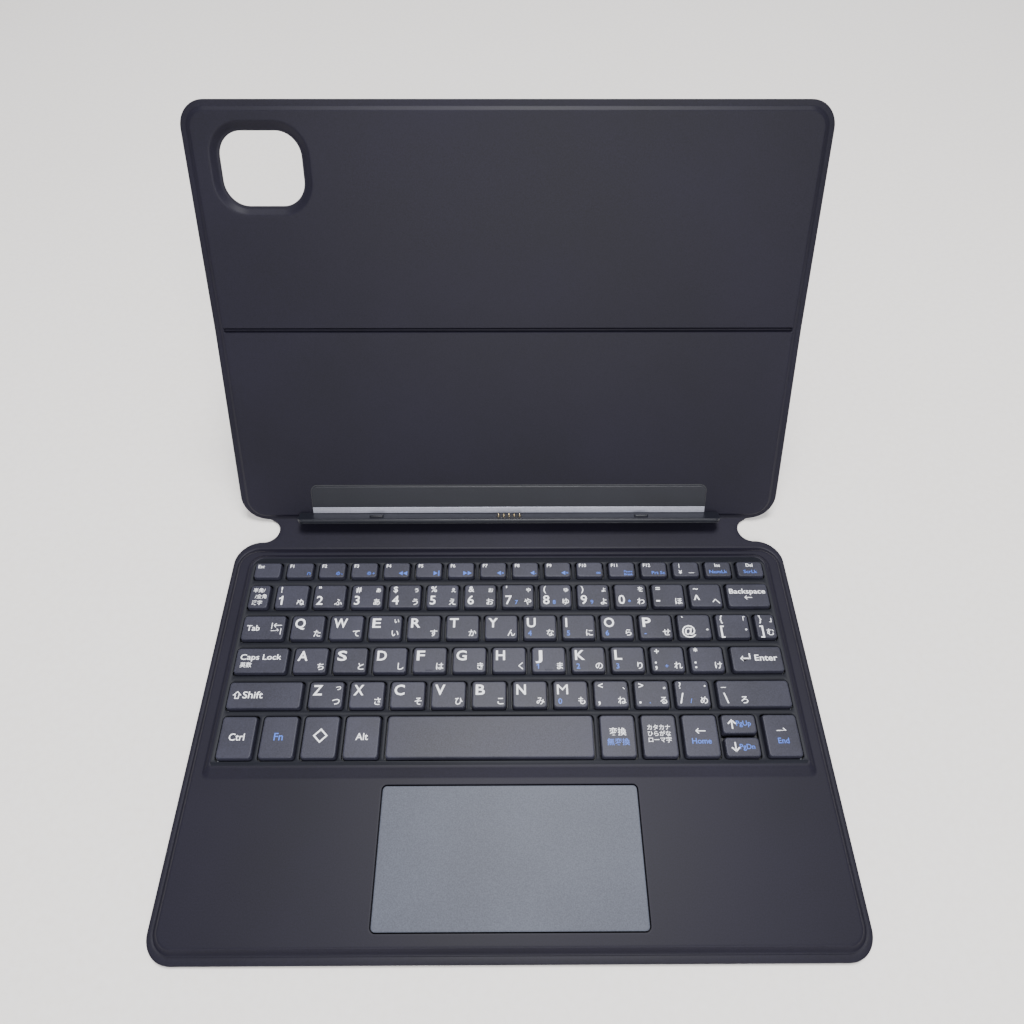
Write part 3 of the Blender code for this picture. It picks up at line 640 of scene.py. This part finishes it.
WORDS = {  # text, align, distance, baseline, capital height, ink
    "esc": [("Esc", "left", 1.6, 5.4, 1.7, 0)],
    "yen": [("|", "left", 3.2, 5.4, 1.7, 0), ("¥", "left", 2.8, 1.7, 1.9, 0),
            ("—", "left", 7.4, 1.6, 1.7, 0)],
    "insert": [("Ins", "middle", 0, 5.4, 1.7, 0), ("NumLk", "middle", 0, 2.0, 1.7, 1)],
    "delete": [("Del", "middle", 0, 5.4, 1.7, 0), ("ScrLk", "middle", 0, 2.0, 1.7, 1)],
    "kanji": [("半角/", "middle", -0.4, 8.4, 1.7, 0), ("/全角", "middle", 0.7, 5.3, 1.7, 0),
              ("漢字", "middle", -0.5, 2.1, 1.7, 0)],
    "backspace": [("Backspace", "middle", 0, 6.9, 2.5, 0), ("⟵", "middle", 0, 3.9, 2.2, 0)],
    "tab": [("Tab", "left", 2.2, 4.6, 2.7, 0), ("|⟵", "right", 1.6, 6.1, 2.3, 0),
            ("⟶|", "right", 1.6, 3.5, 2.3, 0)],
    "caps": [("Caps Lock", "left", 2.2, 6.4, 2.55, 0), ("英数", "left", 2.6, 3.1, 1.8, 0)],
    "enter": [("↵", "left", 4.0, 4.4, 4.0, 0), ("Enter", "right", 2.5, 5.2, 2.8, 0)],
    "shift": [("⇧", "left", 2.2, 4.5, 3.0, 0), ("Shift", "left", 6.4, 4.7, 3.0, 0)],
    "ctrl": [("Ctrl", "middle", 0, 7.6, 2.9, 0)],
    "fn": [("Fn", "middle", 0, 7.6, 3.1, 1)],
    "home_key": [("◇", "middle", 0, 7.2, 4.4, 0)],
    "alt": [("Alt", "middle", 0, 7.6, 2.9, 0)],
    "convert": [("変換", "middle", 0, 9.3, 2.5, 0), ("無変換", "middle", 0, 5.3, 2.2, 1)],
    "kana": [("カタカナ\nひらがな\nローマ字", "middle", 0, 11.4, 1.75, 0)],
    "left": [("⟵", "middle", 0, 9.6, 2.6, 0), ("Home", "middle", 0, 5.6, 2.3, 1)],
    "right": [("⟶", "middle", 0, 9.6, 2.6, 0), ("End", "middle", 0, 5.6, 2.3, 1)],
    "up": [("↑", "left", 2.6, 2.2, 3.8, 0), ("PgUp", "right", 2.4, 3.5, 2.1, 1)],
    "down": [("↓", "left", 2.6, 2.2, 3.8, 0), ("PgDn", "right", 2.4, 3.3, 2.1, 1)],
    "ro": [("\\", "left", 2.6, 1.9, 4.5, 0), ("_", "left", 2.0, 9.0, 2.7, 0),
           ("ろ", "left", 9.6, 1.9, 2.7, 0)],
}


def legends_of(name):
    """The printed marks of one key, each as text, alignment, distance, baseline, height and ink."""
    row, _, number = name.partition("_")
    if name in WORDS:
        return WORDS[name]
    if name in SIGNS:
        spots = (DIGIT, SHIFTED, KANA, SMALL_KANA, INNER_DIGIT)
        return [(mark, *spot) for mark, spot in zip(SIGNS[name], spots) if mark != NONE]
    if row == "function":
        icon = FUNCTION_ICONS[int(number) - 1]
        baseline, height = (2.6, 1.05) if "\n" in icon else (1.6, 1.6)
        return [(f"F{number}", "left", 1.5, 5.5, 1.7, 0), (icon, "right", 1.3, baseline, height, 1)]
    if row in LETTERS:
        marks = LETTERS[row].split()[int(number) - 1]
        spots = (MAIN, KANA, SMALL_KANA, PAD_DIGIT)
        return [(mark, *spot) for mark, spot in zip(marks, spots) if mark != NONE]
    return []


def make_legends(name, body, place):
    """The key's printed marks, a thin layer of ink on its top."""
    marks = legends_of(name)
    if not marks:
        return
    points, faces, inks = [], [], []
    count = 0
    x0, x1, y0, _ = place
    for text, align, distance, baseline, height, ink in marks:
        outline, text_faces = glyphs(text)
        size = height * MM / CAP_HEIGHT
        outline = outline * (breadth(text, outline), 1, 1)
        left, right = outline[:, 0].min() * size, outline[:, 0].max() * size
        shift = {
            "left": x0 + distance * MM - left,
            "right": x1 - distance * MM - right,
            "middle": (x0 + x1 - left - right) / 2 + distance * MM,
        }[align]
        placed = outline * (size, size, INK_HEIGHT) + (shift, y0 + baseline * MM, KEY_HIGH.z + INK_HEIGHT / 2)
        points.append(placed)
        faces += [tuple(i + count for i in face) for face in text_faces]
        inks += [ink] * len(text_faces)
        count += len(outline)
    mesh = bpy.data.meshes.new(f"legend_{name}")
    mesh.from_pydata(np.concatenate(points).tolist(), [], faces)
    for ink in INKS:
        mesh.materials.append(ink)
    mesh.polygons.foreach_set("material_index", inks)
    piece = bpy.data.objects.new(f"legend_{name}", mesh)
    bpy.context.scene.collection.objects.link(piece)
    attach(piece, body)


def make_key_web(places):
    """The pierced plate between the keys, flush with the platform, and its rim down to the support plate."""
    surface = Surface()
    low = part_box("key_frame")[0]
    clearance = 0.4 * MM
    thick = 1.0 * MM
    rim = 1.7 * MM
    slit = LIP + 0.012 * MM  # leaves a hairline beside the skin
    holes = []
    boxes = [place for name, _, *place in places if name not in ("up", "down")]
    arrows = {name: place for name, _, *place in places if name in ("up", "down")}
    boxes.append([arrows["down"][0], arrows["down"][1], arrows["down"][2], arrows["up"][3]])
    for box in boxes:
        rings = [
            cap_ring(box, -clearance - 0.1 * MM, WEB_TOP),
            cap_ring(box, -clearance, WEB_TOP - EASE),
            cap_ring(box, -clearance, WEB_TOP - thick),
        ]
        holes.append(surface.stack(rings))
    _, last = surface.stack([
        platform_ring(1, WEB_TOP - thick, -rim), platform_ring(1, low.z, -rim),
        platform_ring(1, low.z, -slit), platform_ring(1, WEB_TOP - TIGHT, -slit),
        platform_ring(1, WEB_TOP, -slit - TIGHT),
    ])
    surface.fill(last, [hole[0] for hole in holes])
    first = surface.put(platform_ring(1, WEB_TOP - thick, -rim))
    surface.fill(first, [hole[1] for hole in holes], up=False)
    settle(surface.make("key_web", FINISH["frame_plastic"]), "base", "frame_plastic", "key_frame")


def make_keys():
    """The web, then every cap with its legend."""
    places = key_places()
    make_key_web(places)
    for name, body, *place in places:
        make_cap(name, body, place)
        make_legends(name, body, place)


# ---- hinge strip ---------------------------------------------------------------------------------------

def strip_edge(inset, part):
    """The right-hand edge of half of the hinge strip, from near to far, drawn in by inset.

    Beside the deck and the panel it is an arc about the corner's centre, and between them about the notch's.
    Further in than the rounded edge it is that same line, moved straight across.
    """
    core = max(inset - EDGE, 0)
    inset -= core
    corner = HINGE_CORNER - inset
    notch = NOTCH + inset
    middle = HINGE_Y + NOTCH
    quarter_turn = np.linspace(0, np.pi / 2, STEPS + 1)
    if part == "front":
        start = math.asin((DECK_CUT - HINGE_Y + HINGE_CORNER) / corner)
        t = np.linspace(start, np.pi / 2, 9)[:-1]
        arc = np.stack((NOTCH_X + corner * np.cos(t), HINGE_Y - HINGE_CORNER + corner * np.sin(t)), 1)
        bay = np.stack((NOTCH_X - notch * np.sin(quarter_turn), middle - notch * np.cos(quarter_turn)), 1)
        return np.concatenate((arc, bay)) - (core, 0)
    end = math.asin((HINGE_CORNER - PANEL_CUT) / corner)
    t = np.linspace(np.pi / 2, end, 9)[1:]
    arc = np.stack((NOTCH_X + corner * np.cos(t), FOLD_Y + HINGE_CORNER - corner * np.sin(t)), 1)
    bay = np.stack(
        (NOTCH_X - notch * np.sin(quarter_turn[::-1]), middle + notch * np.cos(quarter_turn[::-1])), 1
    )
    return np.concatenate((bay, arc)) - (core, 0)


def make_strip_skin(name, part, profile, body_a, body_b, start, end, node):
    """One skin of half the strip: its edge profile carried along both sides, and straight across between.

    profile lists (inset, w) from the middle of the lower face round the edge to the middle of the upper face.
    """
    surface = Surface()
    loop = []
    for inset, w in profile:
        edge = strip_edge(inset, part)
        loop.append(np.column_stack((edge, np.full(len(edge), w))))
    rows = len(loop[0])
    mirrored = [points * (-1, 1, 1) for points in loop[::-1]]
    columns = [surface.put(points) for points in loop + mirrored]
    for left_column, right_column in zip(columns, columns[1:] + columns[:1]):
        surface.band(left_column, right_column, closed=False)
    for index, up in ((0, False), (rows - 1, True)):
        outline = [int(column[index]) for column in columns]
        surface.faces.append(outline if up else outline[::-1])
    piece = surface.make(name, FINISH["soft_skin"], over_fold, sharp=50)
    bpy.context.view_layer.update()
    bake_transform(piece)
    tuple(start)
    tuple(end)
    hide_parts(node)


def make_strip():
    """The strip between deck and panel: two skins with the flat cable between them, shaped round the panel's fold.
    """
    cos, sin = quarter()
    core = 2.4 * MM  # the skins meet along this margin, and part behind it round the cable
    lower = [(core, -FLANGE)]
    lower += [(EDGE * (1 - c), -FLANGE + EDGE * (1 - s)) for c, s in zip(cos[::-1], sin[::-1])]
    lower += [(0, -SEAM - 0.05 * MM), (EASE, -SEAM + 0.03 * MM), (core, -SEAM + 0.03 * MM)]
    lower += [(core + 0.4 * MM, -1.08 * MM)]
    upper = [(core + 0.4 * MM, -0.72 * MM), (core, -SEAM + 0.06 * MM), (EASE, -SEAM + 0.06 * MM)]
    upper += [(0, -SEAM + 0.14 * MM)]
    upper += [(EDGE * (1 - c), -EDGE * (1 - s)) for c, s in zip(cos, sin)] + [(core, 0)]
    reach = 2.2 * MM  # either side of the deck's fold
    near = dict(
        body_a="base", body_b="spine",
        start=(0, HINGE_Y - reach, FLANGE), end=(0, HINGE_Y + reach, FLANGE),
    )
    beyond = over_fold(np.array([[0, FOLD_Y + PANEL_CUT - 0.1 * MM, 0]]))[0]
    far = dict(
        body_a="spine", body_b="back_lower", start=(0, FOLD_Y - 2.6 * MM, FLANGE), end=tuple(beyond),
    )
    for side, profile, node in (("outer", lower, "spine_outer_skin"), ("inner", upper, "spine_inner_skin")):
        make_strip_skin(f"strip_{side}_front", "front", profile, node=node, **near)
        make_strip_skin(f"strip_{side}_rear", "rear", profile, node=node, **far)


# ---- back panel ----------------------------------------------------------------------------------------

def window_ring(out, w):
    """The camera window's outline on the upper half, grown by out."""
    left, above = 13.6 * MM, 11.1 * MM
    width, height, radius = 33.1 * MM, 28.0 * MM, 9.6 * MM
    x0, y1 = -SIDE + left, PANEL_TOP - above
    return ring(x0 - out, x0 + width + out, y1 - height - out, y1 + out, (radius + out,) * 4, w)


def low_ring(inset, w, foot=True):
    """The lower half's outline; the bevel at its foot is steeper than at its sides."""
    near = np.interp(inset, (0, FOOT, CROWN, 1), (0, 1.4 * MM, 2.8 * MM, 0.9984)) if foot else inset
    radius = HINGE_CORNER - inset
    return ring(
        -SIDE + inset, SIDE - inset, near, CREASE_U - CREASE_CUT, (radius, radius, 0, 0), w, near=PANEL_CUT
    )


def high_ring(inset, w):
    """The upper half's outline, square where it meets the crease."""
    radius = CORNER - inset
    return ring(-SIDE + inset, SIDE - inset, CREASE_CUT, PANEL_TOP - inset, (0, 0, radius, radius), w)


def inner_skin_rings(outline):
    """Rings of an inner skin: from its pocket, round the flange's edge and up the bevel to the plateau."""
    cos, sin = quarter()
    rings = [outline(CROWN + SKIN, PLATEAU - SKIN), outline(CROWN + SKIN, SEAM - FLANGE)]
    rings += [outline(EASE, SEAM - FLANGE), outline(0, SEAM - FLANGE + EASE)]
    rings += [outline(EDGE * (1 - c), -EDGE * (1 - s)) for c, s in zip(cos, sin)]
    for t in np.linspace(0, 1, 13):
        rings.append(outline(FOOT + (CROWN - FOOT) * t, PLATEAU * ramp(t, 0.3)))
    return rings + [outline(CROWN + 0.5 * MM, PLATEAU)]


def make_lower_panel():
    """The lower half: its bevelled inner skin and its flat outer one."""
    outer = outer_skin_rings(lambda inset, w: low_ring(inset, w, foot=False), -FLANGE)
    for side, rings in (("inner", inner_skin_rings(low_ring)), ("outer", outer)):
        surface = Surface()
        surface.solid(rings)
        piece = surface.make(f"panel_lower_{side}_skin", FINISH["soft_skin"], lower_half)
        settle(piece, "back_lower", "soft_skin", f"back_lower_{side}_skin")


def make_upper_panel():
    """The upper half: the camera window's dished rim in the inner skin, its hole through the outer one."""
    surface = Surface()
    first, last = surface.stack(inner_skin_rings(high_ring))
    rim, lip, base = 3.9 * MM, 0.35 * MM, -0.66 * MM
    dish = [window_ring(rim + 0.5 * MM, PLATEAU)]
    for t in np.linspace(0, 1, 15):
        dish.append(window_ring(rim + (lip - rim) * t, PLATEAU + (base - PLATEAU) * ramp(t, 0.25)))
    dish += [window_ring(0.12 * MM, base), window_ring(0, base - 0.12 * MM), window_ring(0, SEAM - FLANGE)]
    pocket = 4.1 * MM  # how far behind the rim the skin's hollow starts
    dish += [window_ring(pocket, SEAM - FLANGE), window_ring(pocket, PLATEAU - SKIN)]
    mouth, back = surface.stack(dish)
    surface.fill(first, [back], up=False)
    surface.fill(last, [mouth])
    piece = surface.make("panel_upper_inner_skin", FINISH["soft_skin"], upper_half)
    settle(piece, "back_upper", "soft_skin", "back_upper_inner_skin")
    surface = Surface()
    first, last = surface.stack(outer_skin_rings(high_ring, -FLANGE))
    cos, sin = quarter()
    hole = [window_ring(0, SEAM - FLANGE - TIGHT)]
    hole += [window_ring(EDGE * (1 - c), -FLANGE + EDGE * (1 - s)) for c, s in zip(cos, sin)]
    hole.append(window_ring(EDGE + 0.4 * MM, -FLANGE))
    inside, outside = surface.stack(hole)
    surface.fill(first, [outside], up=False)
    surface.fill(last, [inside])
    piece = surface.make("panel_upper_outer_skin", FINISH["soft_skin"], upper_half)
    settle(piece, "back_upper", "soft_skin", "back_upper_outer_skin")


def crease_face(x, u):
    """The inner face's height over the crease: the side bevel's profile, or the groove's where that is lower.

    The groove's floor bulges up between two steep walls, and the groove fades out beside the bevels.
    """
    bevel = PLATEAU * ramp((SIDE - np.abs(x) - FOOT) / (CROWN - FOOT), 0.3)
    away = np.abs(u - CREASE_U)
    half = 0.7 * MM  # of the groove's floor
    wall = ramp((away - half) / (0.5 * MM), 0.3)
    bulge = 0.5 * MM * np.clip(1 - (away / half) ** 2, 0, 1)
    groove = PLATEAU - (PLATEAU + 0.2 * MM) * (1 - wall) + bulge
    fade = ramp((SIDE - np.abs(x) - 4.0 * MM) / (1.2 * MM), 0.3)
    return np.minimum(bevel, PLATEAU + (groove - PLATEAU) * fade)


def make_crease():
    """Both skins at the crease, each a sheet across the whole width, turned from the lower half's lean to the
    upper half's.
    """
    u = CREASE_U + np.linspace(-CREASE_CUT, CREASE_CUT, 61)
    cos, sin = quarter()
    across = np.concatenate((np.linspace(0, FOOT - EDGE, 3)[1:-1] + EDGE, np.linspace(FOOT, CROWN + MM, 19)))
    across = np.concatenate((EDGE * (1 - cos), across))
    fall = np.concatenate((-EDGE * (1 - sin), np.zeros(len(across) - len(cos))))
    seam = SEAM - FLANGE
    inner = [(EASE, seam), (0, seam + EASE)] + list(zip(across, fall))
    outer = [(MM, -FLANGE)]
    outer += [(EDGE * (1 - c), -FLANGE + EDGE * (1 - s)) for c, s in zip(cos[::-1], sin[::-1])]
    outer += [(0, seam - TIGHT - EASE), (EASE, seam - TIGHT)]
    for side, profile in (("inner", inner), ("outer", outer)):
        surface = Surface()
        columns = []
        for inset, w in profile:
            x = np.full(len(u), SIDE - inset)
            height = np.full(len(u), w)
            if side == "inner" and w > -EDGE and inset > 0.05 * MM:
                height = height + crease_face(x, u)
            columns.append(np.column_stack((x, u, height)))
        mirrored = [column * (-1, 1, 1) for column in columns[::-1]]
        ids = [surface.put(column) for column in columns + mirrored]
        for a, b in zip(ids, ids[1:] + ids[:1]):
            surface.band(a, b, closed=False)
        for index, up in ((0, False), (len(u) - 1, True)):
            loop = [int(column[index]) for column in ids]
            surface.faces.append(loop if up else loop[::-1])
        piece = surface.make(f"crease_{side}_skin", FINISH["soft_skin"], over_crease, sharp=50)
        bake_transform(piece)


# ---- docking rail --------------------------------------------------------------------------------------

RAIL_HALF = 101.7 * MM
RAIL_LOW, RAIL_TOP = 2.2 * MM, 4.1 * MM
RAIL_FACE = PLATEAU + 0.15 * MM
RAIL_OUT = RAIL_FACE + 8.6 * MM
COVER_LOW = 1.7 * MM
PLATE_HALF, PLATE_TOP, PLATE_THICK = 95.1 * MM, 18.0 * MM, 0.9 * MM
TRIM_TOP = 7.2 * MM
PIN_OUT = RAIL_FACE + 5.2 * MM
PIN_PITCH = 2.54 * MM
PIN_LOW, PIN_HIGH = 3.1 * MM, 5.55 * MM
TAB_AT, TAB_HALF, TAB_HIGH = 63.8 * MM, 3.4 * MM, 0.7 * MM


def on_edge(points):
    """Points worked out as (x, -w, u), level rings stacked up the panel, laid on the lower half."""
    return lower_half(np.stack((points[:, 0], points[:, 2], -points[:, 1]), 1))


def rail_ring(inset, u):
    """The ledge seen along the panel: straight at the back, its two front corners rounded."""
    return ring(
        -RAIL_HALF + inset, RAIL_HALF - inset, -RAIL_OUT + inset, -RAIL_FACE - inset,
        (3 * MM - inset,) * 2 + (0.4 * MM,) * 2, u, steps=8,
    )


def plate_ring(inset, w):
    """The back plate's outline, its two upper corners rounded."""
    return ring(
        -PLATE_HALF + inset, PLATE_HALF - inset, RAIL_LOW + 0.5 * MM + inset, PLATE_TOP - inset,
        (0.4 * MM,) * 2 + (3 * MM - inset,) * 2, w, steps=8,
    )


def make_rail():
    """The ledge that carries the tablet, its cover underneath, the plate behind it, and a dark rim around the
    plate that is painted shadow.
    """
    surface = Surface()
    slab(surface, rail_ring, RAIL_LOW, RAIL_TOP, 0.42 * MM)
    piece = surface.make("dock_ledge", FINISH["dock_plastic"], on_edge)
    settle(piece, "back_lower", "dock_plastic", "dock_housing")
    surface = Surface()
    slab(surface, lambda inset, u: rail_ring(inset + 0.3 * MM, u), COVER_LOW, RAIL_LOW - 0.05 * MM, 0.12 * MM)
    piece = surface.make("dock_base_cover", FINISH["dock_plastic"], on_edge)
    settle(piece, "back_lower", "dock_plastic", "dock_cover")
    surface = Surface()
    slab(surface, plate_ring, RAIL_FACE, RAIL_FACE + PLATE_THICK, 0.3 * MM, rounded_foot=False)
    piece = surface.make("dock_back_plate", FINISH["dock_plastic"], lower_half)
    settle(piece, "back_lower", "dock_plastic", "dock_housing")
    # A dark rubber rim a little wider than the plate: painted shadow of the plate's step on the panel, not a real
    # part.
    surface = Surface()
    slab(
        surface, lambda inset, w: plate_ring(inset - 0.35 * MM, w),
        PLATEAU + 0.01 * MM, RAIL_FACE - TIGHT, 0.04 * MM, rounded_foot=False,
    )
    settle(surface.make("dock_gasket", FINISH["rubber"], lower_half), "back_lower", "rubber")


def make_trim():
    """The strip along the foot of the plate, a wedge with eased edges, carried along X; its pale colour is partly
    painted highlight.
    """
    surface = Surface()
    face = RAIL_FACE + PLATE_THICK + 0.1 * MM
    foot = RAIL_TOP + 0.1 * MM
    section = np.array([
        (foot, face), (TRIM_TOP, face), (TRIM_TOP, face + 0.1 * MM), (TRIM_TOP - 0.12 * MM, face + 0.2 * MM),
        (foot + 0.12 * MM, face + 0.3 * MM), (foot, face + 0.2 * MM),
    ])
    stations = np.linspace(-1, 1, 21) * (PLATE_HALF - 0.15 * MM)
    rings = [np.column_stack((np.full(len(section), x), section)) for x in stations]
    first, last = surface.stack(rings)
    surface.faces += [first[::-1].tolist(), last.tolist()]
    # Its pale colour is partly painted highlight: the overhead light's reflection along the chamfer, given as a
    # light diffuse colour.
    piece = surface.make("dock_bright_strip", FINISH["trim_metal"], lower_half, sharp=20)
    settle(piece, "back_lower", "trim_metal", "dock_trim")


def make_tabs():
    """The two nubs that find the tablet's sockets."""
    surface = Surface()
    for centre in (-TAB_AT, TAB_AT):
        slab(
            surface,
            lambda inset, u, centre=centre: ring(
                centre - TAB_HALF + inset, centre + TAB_HALF - inset, -PIN_OUT - 0.5 * MM + inset,
                -PIN_OUT + 1.3 * MM - inset, (0.9 * MM - inset,) * 4, u, steps=5,
            ),
            RAIL_TOP - 0.3 * MM, RAIL_TOP + TAB_HIGH, 0.35 * MM, rounded_foot=False,
        )
    piece = surface.make("dock_locating_tabs", FINISH["dock_plastic"], on_edge)
    settle(piece, "back_lower", "dock_plastic", "dock_housing")


def make_contacts():
    """The black insert and the five spring pins, each turned with a domed tip."""
    surface = Surface()
    slab(
        surface,
        lambda inset, u: ring(
            -6.3 * MM + inset, 6.3 * MM - inset, -PIN_OUT - 1.3 * MM + inset, -PIN_OUT + 1.3 * MM - inset,
            (1.25 * MM - inset,) * 4, u, steps=6,
        ),
        RAIL_TOP - 0.9 * MM, RAIL_TOP + 0.12 * MM, 0.1 * MM, rounded_foot=False,
    )
    piece = surface.make("contact_insert", FINISH["stiffener"], on_edge)
    settle(piece, "back_lower", "stiffener", "pin_carrier")
    turn = np.linspace(0, 2 * np.pi, 24, endpoint=False)
    dome = np.linspace(0, np.pi / 2, 6)[:-1]
    body, tip = 0.5 * MM, 0.36 * MM  # radii
    radii = [body, body, tip, *(tip * np.cos(dome))]
    levels = [PIN_LOW, RAIL_TOP + 0.3 * MM, RAIL_TOP + 0.4 * MM, *(PIN_HIGH - tip + tip * np.sin(dome))]
    for number in range(1, 6):
        node = f"pogo_pin_{number}"
        surface = Surface()
        x = PIN_PITCH * (number - 3)
        rings = [
            np.column_stack((x + r * np.cos(turn), -PIN_OUT + r * np.sin(turn), np.full(len(turn), u)))
            for r, u in zip(radii, levels)
        ]
        first, last = surface.stack(rings)
        surface.faces += [first[::-1].tolist(), last.tolist()]
        settle(surface.make(f"contact_pin_{number}", FINISH["gold"], on_edge), node, "gold", node)


# ---- the other nodes keep their CAD shape --------------------------------------------------------------

def dress_frame():
    """Gives every CAD node the procedural finish of its slot."""
    for part in frame["record"]["subparts"]:
        slots = frame["nodes"][part["node"]].data.materials
        slots.clear()
        slots.append(FINISH[part["material_slot"]])


# ---- floor, light and camera ---------------------------------------------------------------------------

def make_floor():
    """A plain pale floor."""
    half = 4.0
    corners = [(-half, -half, 0), (half, -half, 0), (half, half, 0), (-half, half, 0)]
    mesh = bpy.data.meshes.new("floor")
    mesh.from_pydata(corners, [], [(0, 1, 2, 3)])
    paint = finish("pale_floor_paint", "#f3eee9", "#f8f4f0", 3 * MM, 300 * MM, 0.02, (0.7, 0.8))
    mesh.materials.append(paint)
    floor = bpy.data.objects.new("floor", mesh)
    floor.location.z = -0.2 * MM
    bpy.context.scene.collection.objects.link(floor)


def make_light(name, place, aim, size, power):
    """A square soft box that faces its aim."""
    light = bpy.data.lights.new(name, "AREA")
    light.size = size
    light.energy = power
    lamp = bpy.data.objects.new(name, light)
    lamp.location = place
    lamp.rotation_euler = (Vector(aim) - Vector(place)).to_track_quat("-Z", "Y").to_euler()
    bpy.context.scene.collection.objects.link(lamp)


def make_studio():
    """The floor, an even cool sky, and two soft boxes: one overhead, one in front."""
    make_floor()
    world = bpy.data.worlds.new("studio")
    bpy.context.scene.world = world
    world.use_nodes = True
    sky = world.node_tree.nodes["Background"].inputs
    sky["Color"].default_value = linear("#dfe2ea")
    sky["Strength"].default_value = 0.52
    middle = (0, 0.03, 0.05)
    make_light("overhead_soft_box", (0.06, 0.36, 1.5), middle, 0.55, 30)
    make_light("front_soft_box", (0.1, -1.15, 1.0), middle, 1.2, 27)


def make_camera():
    """A 27 mm lens held over the palm rest, looking down at the hinge."""
    camera = bpy.data.cameras.new("camera")
    camera.lens = 26.908
    camera.sensor_width = 36
    pitch, yaw, roll = math.radians(55.175), math.radians(-0.49), math.radians(0.254)
    ahead = Vector((-math.sin(yaw), math.cos(yaw), 0))
    right = Vector((math.cos(yaw), math.sin(yaw), 0))
    forward = ahead * math.cos(pitch) - Vector((0, 0, 1)) * math.sin(pitch)
    up = ahead * math.sin(pitch) + Vector((0, 0, 1)) * math.cos(pitch)
    level = right * math.cos(roll) + up * math.sin(roll)
    upright = up * math.cos(roll) - right * math.sin(roll)
    place = Vector((-0.00037, -0.11087, 0.31258))
    columns = Matrix((level, upright, -forward)).transposed().to_4x4()
    seen = bpy.data.objects.new("camera", camera)
    seen.matrix_world = Matrix.Translation(place) @ columns
    bpy.context.scene.collection.objects.link(seen)
    bpy.context.scene.camera = seen


make_camera()
make_studio()
dress_frame()
make_bottom_skin()
make_deck_skin()
make_touchpad()
make_keys()
make_strip()
make_lower_panel()
make_upper_panel()
make_crease()
make_rail()
make_trim()
make_tabs()
make_contacts()
